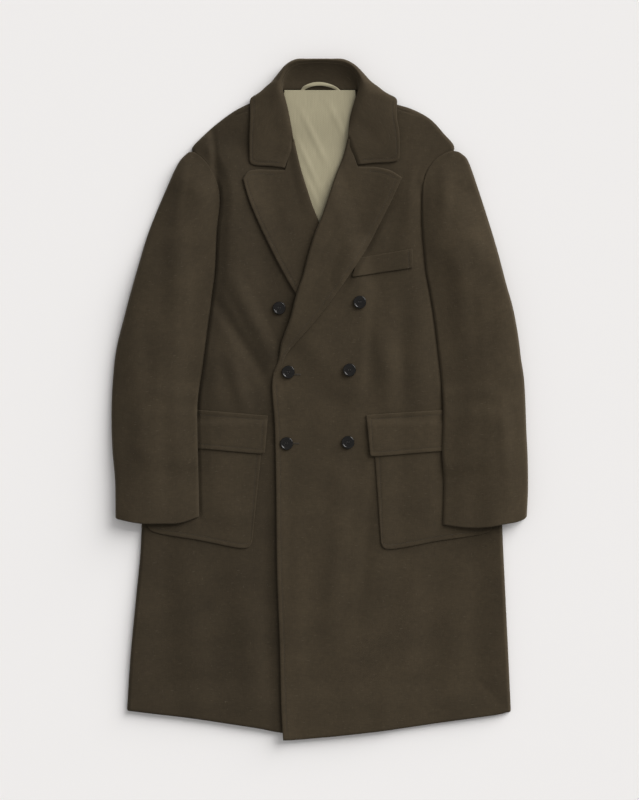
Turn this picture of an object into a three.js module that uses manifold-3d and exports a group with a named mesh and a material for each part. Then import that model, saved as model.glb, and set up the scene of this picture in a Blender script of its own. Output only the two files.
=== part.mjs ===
// A double-breasted wool overcoat, buttoned and laid flat on its back, at real size in millimetres.
// X runs across the coat, +Y runs up to the collar and +Z is up, away from the surface it lies on.
// Left and right in the names are the wearer's, so the right front lies at negative X.
// Every panel is a wall of cloth on an outline, and each lies at the height of what is beneath it.
import * as THREE from 'three';
import { mergeVertices } from 'three/addons/utils/BufferGeometryUtils.js';
import Module from 'manifold-3d';

const wasm = await Module();
wasm.setup();

// Driving dimensions
const WALL = 2.6; // melton cloth with its backing
const POCKET_WALL = 2.2; // pockets, flaps and welt
const LINING_WALL = 1;
const GAP = 0.4; // between panels that lie on each other or meet at a seam
const LAYER = WALL + GAP;
const POCKET_LAYER = POCKET_WALL + GAP;
const LOFT = 1.7; // air between the back and the fronts
const HEM_LOFT = 0.5;
const LIFT = 3.6; // the back's rise over the part of the collar that is turned under it
const EDGE_RADIUS = 4; // rounded fold at the side seams and shoulders
const ROLL_HEIGHT = 2; // extra height of a lapel along its roll line
const ROLL_RADIUS = (2 * WALL + GAP + ROLL_HEIGHT) / 2;
const SLEEVE_EDGE = 6; // width of a sleeve's rounded edge
const SLEEVE_SIDE = 6.3; // its height where that edge ends
const SLEEVE_CROWN = 3; // and the further rise to its middle
const LAP_MARGIN = 34; // a front stays raised this far past an edge beneath it
const LAP_RAMP = 40; // and comes down over this length
const BED_MARGIN = 22; // the same for what lies under a sleeve
const BED_RAMP = 28;
const STAND_WALL = 1;
const BUTTON_RADIUS = 11.3;
const BUTTON_HEIGHT = 3.6;

const CLOTH = { color: 0x3d3629, roughness: 0.95, metalness: 0 };
const LINING = { color: 0x9f987e, roughness: 0.6, metalness: 0 };
const HORN = { color: 0x17130f, roughness: 0.2, metalness: 0 };

const coat = new THREE.Group();
const vector = (x, y, z = 0) => new THREE.Vector3(x, y, z);
const ease = (low, high, x) => THREE.MathUtils.smoothstep(x, low, high);
const table = (columns, rows) =>
  rows.map((row) => Object.fromEntries(columns.map((name, i) => [name, row[i]])));

// Evenly spread numbers from 0 to 1.
const shares = (count) => Array.from({ length: count + 1 }, (_, i) => i / count);

// A smooth curve through points given as x and y: v from 0 to 1 runs along it at an even pace.
function through(...rows) {
  const curve = new THREE.CatmullRomCurve3(rows.map(([x, y]) => vector(x, y)), false, 'centripetal');
  return (v) => curve.getPointAt(THREE.MathUtils.clamp(v, 0, 1));
}

// Several curves end to end, the breaks being the v where one gives way to the next.
function path(curves, breaks) {
  const ends = [0, ...breaks, 1];
  return (v) => {
    const i = breaks.filter((b) => v > b).length;
    return curves[i]((v - ends[i]) / (ends[i + 1] - ends[i]));
  };
}

const backwards = (curve) => (v) => curve(1 - v);
const straight = (a, b) => (u) => a.clone().lerp(b, u);

// Unit vector across a curve, towards +X where the curve runs up.
function across(curve, v) {
  const step = 0.004;
  const along = curve(Math.min(1, v + step)).sub(curve(Math.max(0, v - step)));
  return vector(along.y, -along.x).normalize();
}

const shifted = (curve, distance) => (v) => curve(v).addScaledVector(across(curve, v), distance);

// The point at (u, v) of a patch between four curves whose ends meet.
function between(left, right, bottom, top, u, v) {
  const point = left(v).multiplyScalar(1 - u).addScaledVector(right(v), u);
  point.addScaledVector(bottom(u), 1 - v).addScaledVector(top(u), v);
  point.addScaledVector(left(0), (u - 1) * (1 - v)).addScaledVector(right(0), -u * (1 - v));
  return point.addScaledVector(left(1), (u - 1) * v).addScaledVector(right(1), -u * v);
}

const patch = (left, right, bottom, top, us, vs) =>
  vs.map((v) => us.map((u) => between(left, right, bottom, top, u, v)));

const outline = (...curves) => curves.flatMap((curve) => shares(24).map((v) => curve(v)));

// Distance from a point to a closed outline, or 0 inside it.
function away(edge, x, y) {
  let inside = false;
  let nearest = Infinity;
  edge.forEach((a, i) => {
    const b = edge[(i + 1) % edge.length];
    const dx = b.x - a.x;
    const dy = b.y - a.y;
    if (a.y > y !== b.y > y && x < a.x + ((y - a.y) / dy) * dx) inside = !inside;
    const along = ((x - a.x) * dx + (y - a.y) * dy) / (dx * dx + dy * dy || 1);
    const t = THREE.MathUtils.clamp(along, 0, 1);
    nearest = Math.min(nearest, Math.hypot(x - a.x - t * dx, y - a.y - t * dy));
  });
  return inside ? 0 : nearest;
}

// 1 over a piece and a margin round it, coming down to 0 past that.
const over = (edge, x, y, margin = LAP_MARGIN, ramp = LAP_RAMP) =>
  1 - ease(margin, margin + ramp, away(edge, x, y));

// Soft ridges and troughs: a cosine section about a straight line, fading out at both ends.
function folded(folds, x, y) {
  return folds.reduce((sum, fold) => {
    const dx = fold.x1 - fold.x0;
    const dy = fold.y1 - fold.y0;
    const long = Math.hypot(dx, dy);
    const t = ((x - fold.x0) * dx + (y - fold.y0) * dy) / (long * long);
    const side = Math.abs((x - fold.x0) * dy - (y - fold.y0) * dx) / long;
    if (t <= 0 || t >= 1 || side >= fold.width) return sum;
    return sum + fold.rise * Math.sin(Math.PI * t) * Math.cos((Math.PI * side) / (2 * fold.width)) ** 2;
  }, 0);
}

// Closed geometry from a grid of outer points and the matching inner points.
function closed(outer, inner) {
  const rows = outer.length;
  const columns = outer[0].length;
  const positions = [...outer.flat(), ...inner.flat()].flatMap((p) => [p.x, p.y, p.z]);
  const at = (i, j) => i * columns + j;
  const under = (i, j) => rows * columns + at(i, j);
  const index = [];
  const quad = (a, b, c, d) => index.push(a, b, c, a, c, d);
  for (let i = 0; i + 1 < rows; i += 1) {
    for (let j = 0; j + 1 < columns; j += 1) {
      quad(at(i, j), at(i, j + 1), at(i + 1, j + 1), at(i + 1, j));
      quad(under(i, j), under(i + 1, j), under(i + 1, j + 1), under(i, j + 1));
    }
    const last = columns - 1;
    quad(at(i, 0), at(i + 1, 0), under(i + 1, 0), under(i, 0));
    quad(at(i, last), under(i, last), under(i + 1, last), at(i + 1, last));
  }
  for (let j = 0; j + 1 < columns; j += 1) {
    const last = rows - 1;
    quad(at(0, j), under(0, j), under(0, j + 1), at(0, j + 1));
    quad(at(last, j), at(last, j + 1), under(last, j + 1), under(last, j));
  }
  const geometry = new THREE.BufferGeometry();
  geometry.setAttribute('position', new THREE.Float32BufferAttribute(positions, 3));
  geometry.setIndex(index);
  return geometry;
}

// Inner points of a wall: each outer point moved against the surface's normal, which is u cross v.
function inset(outer, thickness) {
  const lastRow = outer.length - 1;
  const lastColumn = outer[0].length - 1;
  return outer.map((row, i) =>
    row.map((point, j) => {
      const u = row[Math.min(lastColumn, j + 1)].clone().sub(row[Math.max(0, j - 1)]);
      const v = outer[Math.min(lastRow, i + 1)][j].clone().sub(outer[Math.max(0, i - 1)][j]);
      return point.clone().addScaledVector(u.cross(v).normalize(), -thickness);
    }),
  );
}

function add(name, geometry, look) {
  const mesh = new THREE.Mesh(geometry, new THREE.MeshStandardMaterial(look));
  mesh.name = name;
  coat.add(mesh);
}

// A wall of cloth under a grid of outer points, whose rows are turned where u runs towards -X.
function wall(name, outer, thickness, turn = false, look = CLOTH) {
  const rows = turn ? outer.map((row) => row.slice().reverse()) : outer;
  const inner = inset(rows, thickness);
  inner.flat().forEach((point) => point.setZ(Math.max(0, point.z)));
  add(name, closed(rows, inner), look);
  return rows;
}

// Height of a grid of points at x and y, and of another surface where the grid doesn't reach.
function levelOn(rows, elsewhere) {
  const faces = rows.slice(1).flatMap((row, i) => row.slice(1).flatMap((c, j) => {
    const [a, b] = rows[i].slice(j, j + 2);
    return [[a, b, c], [a, c, row[j]]];
  }));
  const spin = (a, b, x, y) => (b.x - a.x) * (y - a.y) - (b.y - a.y) * (x - a.x);
  return (x, y) => {
    for (const [a, b, c] of faces) {
      const weights = [spin(b, c, x, y), spin(c, a, x, y), spin(a, b, x, y)];
      const area = weights[0] + weights[1] + weights[2];
      if (area > 0.01 && Math.min(...weights) >= -1e-9) {
        return (weights[0] * a.z + weights[1] * b.z + weights[2] * c.z) / area;
      }
    }
    return elsewhere(x, y);
  };
}

// A flat-lying sheet: plan points raised to a height, with its thickness straight up.
function sheet(name, plan, bottom, thickness, look = CLOTH) {
  const low = plan.map((row) => row.map((p) => vector(p.x, p.y, bottom(p.x, p.y))));
  const high = low.map((row) => row.map((p) => p.clone().setZ(p.z + thickness)));
  add(name, closed(high, low), look);
}

// Outlines

// Each body side runs up its side seam to the armpit, round the armhole to the shoulder's tip
// and along the shoulder to the neck. Each centre edge runs up to the break, then along the
// lapel's roll line to the gorge, then along the neck seam.
const SIDE_BREAKS = [0.58, 0.8];
const CENTRE_BREAKS = [0.5, 0.8];
const BODY_ROWS = [
  ...shares(10).slice(0, -1).map((v) => 0.5 * v), 0.49, 0.5, 0.525, 0.55,
  ...shares(8).map((v) => 0.58 + 0.22 * v), ...shares(6).slice(1).map((v) => 0.8 + 0.2 * v),
];
const sideRight = path([
  through([-338, -545], [-332, -451], [-323.5, -361], [-314.5, -268], [-312, -217], [-303, -100],
    [-294, 20], [-285, 120], [-279, 186]),
  through([-279, 186], [-262, 208], [-238, 238], [-212, 278], [-192, 325], [-184, 364], [-192, 390],
    [-204, 408], [-222, 430]),
  through([-222, 430], [-224, 440], [-205, 461.5], [-179, 484.5], [-147, 507], [-116, 522],
    [-90, 533.5], [-76, 538.8]),
], SIDE_BREAKS);
const sideLeft = path([
  through([335.4, -547], [331, -453], [326.5, -360], [322, -266], [320, -223], [312, -100], [305, 20],
    [299, 120], [294, 186]),
  through([294, 186], [276, 208], [250, 238], [222, 278], [198, 325], [189, 368], [195, 392], [208, 408],
    [232, 428]),
  through([232, 428], [236, 443], [217.5, 466.5], [193.5, 492], [163, 508.5], [129, 519],
    [92, 533.5], [76, 539.2]),
], SIDE_BREAKS);
const rollRight = through([76, 48], [66, 75], [48, 135], [36, 181], [23, 225], [-1.3, 311],
  [-12.7, 340], [-22.5, 370], [-32.3, 402], [-40.3, 435], [-45, 456]);
const rollLeft = through([-81, 48], [-72.4, 69], [-67.3, 99], [-52, 141], [-41.6, 181.5], [-28.8, 220],
  [-21, 251], [-8.3, 292], [2.2, 317.6], [27.7, 392], [41.2, 427], [48.4, 456]);
const edgeRight = through([70, -580], [73, -300], [76, -100], [76, 48]);
const edgeLeft = through([-64, -596], [-67, -547], [-70.3, -422], [-74.8, -297], [-76.6, -141],
  [-79, -41], [-83.4, 26], [-81, 48]);
const neckRight = through([-53.5, 459], [-60.5, 490], [-66.5, 510], [-71, 531]);
const neckLeft = through([56.5, 459], [63.5, 490], [69.5, 510], [72, 531]);
const hemRight = through([-334, -545.8], [-294.4, -550.5], [-222, -559], [-164, -567.7],
  [-106, -576.5], [-67, -583.6], [0, -584], [70, -580]);
const hemLeft = through([331, -551], [318, -554.5], [270.5, -561], [208, -569], [114, -581.5],
  [20, -591], [0, -592.5], [-48, -596], [-64, -596]);
const hemBack = through([-334, -541], [-222, -554], [-100, -570], [0, -578], [120, -574], [220, -562],
  [331, -544]);

// A lapel's free edge from the break to the peak, and its end from the gorge out to the peak.
const lapelEdgeRight = through([62, 52], [50, 78], [28, 102], [-10, 142], [-43, 187], [-69.7, 233],
  [-88, 269], [-106, 307], [-124, 351], [-134, 386]);
const lapelEdgeLeft = through([-67, 55], [-59, 77], [-13.6, 130.4], [22.7, 176.4], [74, 251],
  [101.6, 302], [121.5, 340], [144, 388]);
const lapelEndRight = path([
  through([-45, 456], [-52, 430], [-60.5, 401]),
  through([-60.5, 401], [-88, 401.2], [-112, 401.8], [-125, 398], [-134, 386]),
], [0.42]);
const lapelEndLeft = path([
  through([48.4, 456], [57, 432], [66.4, 407.4]),
  through([66.4, 407.4], [85, 407.4], [101.6, 406.4], [124, 400.5], [144, 388]),
], [0.4]);

const shoulder = (side) => (v) => side(SIDE_BREAKS[1] + v * (1 - SIDE_BREAKS[1]));
const flank = (side) => (v) => side(v * SIDE_BREAKS[1]);
const bodyOutline = outline(flank(sideRight), shoulder(sideRight), backwards(shoulder(sideLeft)),
  backwards(flank(sideLeft)));
const frontRightOutline = outline(flank(sideRight), shoulder(sideRight), backwards(neckRight),
  backwards(rollRight), backwards(edgeRight));
const lapelRightOutline = outline(rollRight, lapelEndRight, backwards(lapelEdgeRight));

// Pockets, flaps and the breast welt: corners from the lower left, anticlockwise.
const corners = (...rows) => rows.map(([x, y]) => vector(x, y));
const POCKET_RIGHT = corners([-303, -229.5], [-120, -263], [-98, -52], [-290, -52]);
const POCKET_LEFT = corners([108, -264.5], [303, -231.5], [297, -52], [93, -52]);
const FLAP_RIGHT = corners([-287, -79.5], [-96.2, -95], [-90.6, -28.4], [-283, -12.5]);
const FLAP_LEFT = corners([88.5, -99.5], [293, -84.5], [290, -13.5], [81, -27.1]);
const WELT = corners([56, 214.5], [163.5, 230.5], [162.5, 263.6], [66, 247.5]);

// Heights

const FOLD_COLUMNS = ['x0', 'y0', 'x1', 'y1', 'width', 'rise'];
const FOLDS_RIGHT = table(FOLD_COLUMNS, [
  [-215, 222, -84, 0, 26, -1.2], // the drag from the armpit to the lower button
  [-200, 275, -78, 62, 26, 2.2],
  [-164, 470, -150, 215, 24, 1.6], // the chest beside the sleeve
  [-196, 150, -120, -20, 24, 1.3],
  [-238, -180, -215, -560, 44, 1.9], // long waves of the skirt
  [-150, -250, -108, -575, 34, 1.6],
]);
const FOLDS_LEFT = table(FOLD_COLUMNS, [
  [166, 400, 152, 255, 24, 1.5], // the chest beside the sleeve
  [130, 205, 86, -80, 24, -1.2], // the drag beside the buttons
  [168, 205, 116, -60, 28, 2.2],
  [104, 190, 24, -170, 26, 1.7],
  [94, -80, 56, -360, 26, -1.2],
  [60, -110, 22, -430, 34, 1.8],
  [172, -240, 130, -585, 44, 2],
  [-38, -150, -46, -590, 26, 1.1],
]);

const loft = (y) => HEM_LOFT + (LOFT - HEM_LOFT) * ease(-590, -430, y);
const lift = (x, y) => LIFT * ease(440, 505, y) * (1 - ease(135, 195, Math.abs(x)));
const frontRightTop = (x, y) => LAYER + lift(x, y) + loft(y) + WALL + folded(FOLDS_RIGHT, x, y);
function frontLeftTop(x, y) {
  const doubled = over(frontRightOutline, x, y);
  const fold = folded(FOLDS_LEFT, x, y);
  return LAYER * (1 + doubled + over(lapelRightOutline, x, y)) + lift(x, y) + loft(y) + WALL
    + (fold < 0 ? fold * (1 - doubled) : fold);
}

const higher = (one, other) => (x, y) => Math.max(one(x, y), other(x, y));

// What a sleeve lies on: the body with its pocket and flap, and past its edge the floor.
const sleeveBed = (frontTop, pocket, flap) => (x, y) => {
  const [body, below, above] = [bodyOutline, pocket, flap].map((edge) =>
    over(edge, x, y, BED_MARGIN, BED_RAMP));
  return body * (frontTop(x, y) + 2.5 * GAP + POCKET_LAYER * (below + above));
};

// Body

function back() {
  const left = shifted(sideRight, EDGE_RADIUS);
  const right = shifted(sideLeft, -EDGE_RADIUS);
  const meeting = (side, corner) => {
    const shift = corner.sub(side(0));
    return (v) => side(v).addScaledVector(shift, (1 - v) ** 12);
  };
  const neck = through([left(1).x, left(1).y], [-62, 541], [0, 541.2], [62, 541],
    [right(1).x, right(1).y]);
  const plan = patch(meeting(left, hemBack(0)), meeting(right, hemBack(1)), hemBack, neck, shares(12),
    BODY_ROWS);
  sheet('back', plan, lift, WALL);
}

// A front has its side and shoulder turned down to the floor, and its roll line cut back for
// the lapel that is rolled over it.
function front(name, side, centre, hem, top, sign) {
  const inward = (v) => across(side, THREE.MathUtils.clamp(v, 0.003, 0.997)).multiplyScalar(sign);
  const turned = (v) => side(v).addScaledVector(inward(v), EDGE_RADIUS);
  const cut = (v) => {
    const [start, end] = CENTRE_BREAKS;
    const rolled = v < start || v > end ? 0 : ROLL_RADIUS + 1.1;
    const middle = THREE.MathUtils.clamp(v, start + 0.005, end - 0.005);
    return centre(v).addScaledVector(across(centre, middle), -sign * rolled);
  };
  const shift = turned(0).sub(hem(0));
  const start = (u) => hem(u).addScaledVector(shift, 1 - u);
  const plan = patch(turned, cut, start, straight(turned(1), cut(1)), shares(13), BODY_ROWS);
  const outer = BODY_ROWS.map((v, i) => {
    const low = side(v);
    const edge = top(low.x, low.y) - EDGE_RADIUS;
    const half = low.clone().addScaledVector(inward(v), 0.29 * EDGE_RADIUS);
    return [
      low.clone().setZ(lift(low.x, low.y)),
      low.clone().setZ(edge),
      half.setZ(edge + 0.71 * EDGE_RADIUS),
      ...plan[i].map((p) => p.setZ(top(p.x, p.y))),
    ];
  });
  return wall(name, outer, WALL, sign < 0);
}

// A lapel comes up from the cut edge of its front, round the roll line and out to its free edge.
function lapel(name, roll, edge, end, base, rollHeight, sign) {
  const outward = (v) => across(roll, v).multiplyScalar(sign);
  const crest = (v) => roll(v).addScaledVector(outward(v), ROLL_RADIUS);
  const shift = crest(1).sub(end(0));
  const finish = (u) => end(u).addScaledVector(shift, (1 - u) ** 6);
  const [first, last] = CENTRE_BREAKS;
  const vs = BODY_ROWS.filter((v) => v >= first && v <= last).map((v) => (v - first) / (last - first));
  const plan = patch(crest, edge, straight(crest(0), edge(0)), finish, shares(8), vs);
  const outer = vs.map((v, i) => {
    const line = roll(v);
    const raise = rollHeight(line.y);
    const low = base(line.x, line.y) - WALL;
    const radius = (GAP + 2 * WALL + raise) / 2;
    const curl = [0, 0.25, 0.5, 0.75].map((share) => {
      const angle = Math.PI * share;
      const point = line.clone().addScaledVector(outward(v), ROLL_RADIUS * (1 - Math.sin(angle)));
      return point.setZ(low + radius * (1 - Math.cos(angle)));
    });
    const flat = plan[i].map((p) => {
      const run = p.distanceTo(line) - ROLL_RADIUS;
      return p.setZ(base(p.x, p.y) + GAP + WALL + raise * (1 - ease(0, 34, run)));
    });
    return [...curl, ...flat];
  });
  wall(name, outer, WALL, sign < 0);
}

// Collar

// Sections of the collar's fall from the gorge to the centre back, on the wearer's right. Each
// has five points: under the roll, its crest, the bend, the turn and the free edge.
const FALL = [
  [[-46, 456, 8.6], [-49.5, 455.5, 13.2], [-54, 438, 12], [-58.5, 420, 11.2], [-62, 405.5, 10.8]],
  [[-48, 469, 9.6], [-52, 468, 14], [-66, 445, 12.8], [-78, 425, 11.4], [-87, 408.5, 10.8]],
  [[-50, 480, 10.6], [-54.5, 479, 15], [-75, 455, 13.4], [-96, 430, 11.6], [-113, 409.8, 10.8]],
  [[-52, 491, 11.6], [-57, 490, 16], [-80, 466, 14.4], [-104, 437, 12.1], [-121.5, 413.5, 10.9]],
  [[-54, 501, 12.6], [-59.5, 500, 17.2], [-83, 479, 15.6], [-106.5, 453, 13], [-123, 432, 11.3]],
  [[-56.5, 512, 13.6], [-62.5, 511, 18.6], [-86, 493, 17], [-107, 477, 14.4], [-123, 465, 12.7]],
  [[-59, 522, 14.6], [-66, 521, 20], [-89, 507, 18], [-108, 497, 15.6], [-122, 489, 14]],
  [[-61.5, 531, 15.6], [-69, 530, 21.5], [-91, 521, 19], [-109, 513, 16.5], [-122, 508, 14.6]],
  [[-64, 540, 16.6], [-72, 540, 23], [-93, 536, 19.5], [-110, 531, 15.5], [-122, 526, 11]],
  [[-65.5, 550, 17], [-73, 551, 23], [-89, 549.5, 16], [-103, 540, 7.5], [-113, 531.5, 0]],
  [[-65, 558, 17], [-70, 560, 21.5], [-82, 557.5, 13], [-90, 549, 2.5], [-93, 521, 0]],
  [[-61, 568, 16.5], [-65, 571, 20], [-71, 573, 11], [-74, 562, 1.2], [-72, 524, 0]],
  [[-53, 579, 15.5], [-56, 583, 18], [-59.5, 586, 10], [-60, 575, 0.8], [-55, 525, 0]],
  [[-39, 586, 14.5], [-41, 591, 16], [-42, 595.4, 9], [-42, 584, 0.6], [-38, 526, 0]],
  [[-20, 588.5, 13.5], [-21, 593, 14.5], [-21, 596, 8], [-21, 585, 0.5], [-19, 526, 0]],
  [[0, 589.5, 13], [0, 593.5, 14], [0, 596, 7.5], [0, 585, 0.5], [0, 526, 0]],
];
// The seam that joins the stand to the fronts and the back, at the same sections.
const NECK_SEAM = [
  [-49.5, 458, 5.8], [-51.5, 470, 6.6], [-54, 481, 7.2], [-56.5, 491, 7.8], [-59, 500, 8.4],
  [-62, 510, 9.1], [-65, 520, 9.4], [-67.5, 529, 9.2], [-67, 536, 7.6], [-65, 540.5, 6.4],
  [-60, 542.4, 6.3], [-52, 542.4, 6.2], [-42, 542.4, 6.2], [-30, 542.4, 6.2], [-15, 542.4, 6.2],
  [0, 542.4, 6.2],
];
// The collar reaches a little further on the wearer's left, and its front end sits higher.
function mirrored([x, y, z]) {
  const front = 1 - ease(450, 500, y);
  return [-x + 0.18 * Math.max(0, -x - 50) + 3.5 * front, y + 5.5 * front, z];
}

// Each section is one wall from the neck seam over the roll to the free edge, cut at the roll
// into the stand and the fall.
function collar() {
  const half = FALL.length - 1;
  const right = FALL.map((row, i) => [NECK_SEAM[i], ...row]);
  const sections = [...right, ...right.slice(0, half).reverse().map((row) => row.map(mirrored))];
  const steps = [...shares(4).map((t) => t / 5), ...shares(3).slice(1).map((t) => (1 + t) / 5),
    ...shares(3).slice(1).map((t) => (2 + t) / 5), ...shares(4).slice(1).map((t) => 0.6 + 0.4 * t)];
  const outer = sections.map((row) => {
    const curve = new THREE.CatmullRomCurve3(row.map((p) => vector(...p)), false, 'centripetal');
    return steps.map((t) => {
      const point = curve.getPoint(t);
      return point.setZ(Math.max(0, point.z));
    }).reverse();
  });
  const cut = steps.length - 5;
  const fallRows = (rows) => rows.map((row) => row.slice(0, cut + 1));
  const standRows = (rows) => rows.map((row) => {
    const [rim, ...rest] = row.slice(cut);
    const pull = 3 * GAP / rim.distanceTo(rest[0]);
    return [rim.clone().lerp(rest[0], pull), ...rest];
  });
  add('collar_fall', closed(fallRows(outer), fallRows(inset(outer, WALL))), CLOTH);
  add('collar_stand', closed(standRows(outer), standRows(inset(outer, STAND_WALL))), CLOTH);
}

back();
const onFrontRight = levelOn(
  front('front_right', sideRight, path([edgeRight, rollRight, neckRight], CENTRE_BREAKS), hemRight,
    frontRightTop, 1),
  frontRightTop,
);
const onFrontLeft = levelOn(
  front('front_left', sideLeft, path([edgeLeft, rollLeft, neckLeft], CENTRE_BREAKS), hemLeft,
    frontLeftTop, -1),
  frontLeftTop,
);
lapel('lapel_right', rollRight, lapelEdgeRight, lapelEndRight, onFrontRight,
  (y) => ROLL_HEIGHT * ease(310, 380, y), -1);
const onWelt = (x, y) =>
  onFrontLeft(x, y) + 1.5 * GAP + (POCKET_LAYER + 2 * GAP) * over(WELT, x, y, 16, 24);
lapel('lapel_left', rollLeft, lapelEdgeLeft, lapelEndLeft, onWelt, () => ROLL_HEIGHT, 1);
collar();

// Sleeves

// Edges of a sleeve from the cuff up: its outer fold, its inner fold, the cuff and the head.
const SLEEVE_RIGHT = {
  outer: through([-358, -208], [-359, -142], [-363.6, -88], [-365.3, -27], [-363, 32], [-357, 86],
    [-342, 148], [-330, 193], [-315, 245], [-303, 285], [-284.5, 333], [-269, 369], [-254, 403],
    [-243.5, 421], [-230, 434]),
  inner: through([-211, -205], [-213, -102], [-214.5, -21.5], [-213, 5], [-205, 59], [-200, 99],
    [-190, 175], [-184, 221], [-180, 297], [-175, 342], [-176, 367]),
  cuff: through([-358, -208], [-317.5, -216], [-278, -217], [-245, -216], [-211, -205]),
  head: through([-230, 434], [-216.6, 432], [-199.6, 418], [-187, 398], [-176, 367]),
};
const SLEEVE_LEFT = {
  outer: through([363, -206], [365.3, -156], [364.6, -100], [362.5, -55], [358.5, 34], [353, 72],
    [348.5, 108.5], [339, 160], [327, 203], [312, 260], [293.6, 321], [278, 369], [263, 412], [257, 424],
    [243, 435]),
  inner: through([215, -219], [217, -144], [214, -90], [216, -19], [213, 34], [207, 90], [201, 139],
    [193.5, 187], [187, 221], [183, 260], [180, 297], [179, 340], [180, 372]),
  cuff: through([363, -206], [348, -213], [321, -218], [292, -223], [259, -224], [215, -219]),
  head: through([243, 435], [227, 434], [212, 427], [199, 416.5], [187, 398], [180, 372]),
};

const EDGE_ANGLES = [0, Math.PI / 6, Math.PI / 3, Math.PI / 2];
const rounded = (run) => Math.sqrt(1 - (1 - Math.min(1, Math.max(0, run) / SLEEVE_EDGE)) ** 2);

function sleeve(side, { outer, inner, cuff, head }, bed, turn) {
  const steps = EDGE_ANGLES.map((angle) => SLEEVE_EDGE * (1 - Math.cos(angle)));
  const rows = shares(24).map((v) => {
    const at = (u) => between(outer, inner, cuff, head, u, v);
    const width = at(0).distanceTo(at(1));
    const edge = steps.map((step) => step / width);
    const inside = shares(8).slice(1, -1).map((u) => edge[3] + u * (1 - 2 * edge[3]));
    const us = [...edge, ...inside, ...edge.map((u) => 1 - u).reverse()];
    return us.map((u) => {
      const point = at(u);
      const crown = SLEEVE_CROWN * (1 - (2 * u - 1) ** 2);
      const full = SLEEVE_SIDE + crown - WALL - 0.5;
      const rise = WALL + 0.5 + full * (1 - ease(0.9, 1, v));
      const low = bed(point.x, point.y) + rise * rounded((1 - u) * width);
      return point.setZ(low * rounded(u * width));
    });
  });
  wall(`sleeve_top_${side}`, rows, WALL, turn);
  const us = shares(6).map((u) => 0.06 + 0.88 * u);
  const under = shares(16).map((v) =>
    us.map((u) => between(outer, inner, cuff, head, u, 0.004 + 0.88 * v)));
  sheet(`sleeve_under_${side}`, turn ? under.map((row) => row.slice().reverse()) : under, bed, WALL);
}

const bedRight = sleeveBed(higher(onFrontRight, frontRightTop), POCKET_RIGHT, FLAP_RIGHT);
const bedLeft = sleeveBed(higher(onFrontLeft, frontLeftTop), POCKET_LEFT, FLAP_LEFT);
sleeve('right', SLEEVE_RIGHT, bedRight, false);
sleeve('left', SLEEVE_LEFT, bedLeft, true);

// Pockets

// A four-sided plan with its two lower corners rounded by the given radii.
function fourSided([a, b, c, d], columns, rows, left, right) {
  const along = b.clone().sub(a).normalize();
  const upLeft = d.clone().sub(a).normalize();
  const upRight = c.clone().sub(b).normalize();
  const from = (p, direction, length) => p.clone().addScaledVector(direction, length);
  const start = from(a, upLeft, left);
  const stop = from(b, upRight, right);
  const curve = new THREE.CatmullRomCurve3([
    start, from(from(a, upLeft, left * 0.3), along, left * 0.3), from(a, along, left),
    a.clone().lerp(b, 0.5), from(b, along, -right),
    from(from(b, upRight, right * 0.3), along, -right * 0.3), stop,
  ], false, 'centripetal');
  const bottom = (u) => curve.getPoint(u);
  const middle = shares(columns).slice(1, -1).map((u) => (1 + u) / 3);
  const us = [0, 1 / 6, 1 / 3, ...middle, 2 / 3, 5 / 6, 1];
  const width = start.distanceTo(stop);
  const top = (u) => d.clone().lerp(c, start.distanceTo(bottom(u)) / width);
  return patch(straight(start, d), straight(stop, c), bottom, top, us, shares(rows));
}

const laidOn = (top, gap = GAP) => (x, y) => top(x, y) + gap;
const flapBed = (top, pocket) => (x, y) =>
  top(x, y) + 2 * GAP + POCKET_LAYER * over(pocket, x, y, 6, 14);
sheet('pocket_right', fourSided(POCKET_RIGHT, 6, 7, 14, 14), laidOn(onFrontRight), POCKET_WALL);
sheet('pocket_left', fourSided(POCKET_LEFT, 6, 7, 14, 14), laidOn(onFrontLeft), POCKET_WALL);
sheet('flap_right', fourSided(FLAP_RIGHT, 6, 7, 2, 2), flapBed(onFrontRight, POCKET_RIGHT), POCKET_WALL);
sheet('flap_left', fourSided(FLAP_LEFT, 6, 7, 2, 2), flapBed(onFrontLeft, POCKET_LEFT), POCKET_WALL);
sheet('breast_welt', fourSided(WELT, 5, 4, 2, 2), laidOn(onFrontLeft, 2 * GAP), POCKET_WALL);

// Lining

// It shows only in the opening of the neck, and reaches a little way under the fronts.
const liningRight = through([-26, 286], [-44, 370], [-58, 440], [-66, 500], [-62, 539]);
const liningLeft = through([26, 286], [44, 370], [58, 440], [66, 500], [62, 539]);
const liningPlan = patch(liningRight, liningLeft, straight(liningRight(0), liningLeft(0)),
  straight(liningRight(1), liningLeft(1)), shares(6), shares(10));
sheet('lining_back', liningPlan, (x, y) => LAYER + lift(x, y), LINING_WALL, LINING);

// The hanger loop is a narrow band sewn down at both ends below the stand.
const loopOuter = through([-36, 538], [-30, 548.5], [-14, 554.8], [2, 555.6], [18, 552], [32, 545.5],
  [39, 538]);
const loopInner = through([-28, 536], [-22, 542], [-11, 547.4], [4, 548.4], [18, 545.4], [27, 541],
  [31, 536]);
const loopPlan = patch(loopOuter, loopInner, straight(loopOuter(0), loopInner(0)),
  straight(loopOuter(1), loopInner(1)), shares(2), shares(16));
const loopBed = (x, y) => LAYER + LIFT + LINING_WALL + GAP + 1.8 * ease(536, 548, y);
sheet('hanger_loop', loopPlan, loopBed, 1.2, LINING);

// Buttons

const BUTTONS = table(['name', 'x', 'y', 'top'], [
  ['button_top_right', -71, 160, onFrontRight],
  ['button_top_left', 70, 170, onFrontLeft],
  ['button_middle_right', -55, 48, onFrontLeft],
  ['button_middle_left', 52, 51.5, onFrontLeft],
  ['button_bottom_right', -58, -77, onFrontLeft],
  ['button_bottom_left', 49.4, -75, onFrontLeft],
]);

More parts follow.
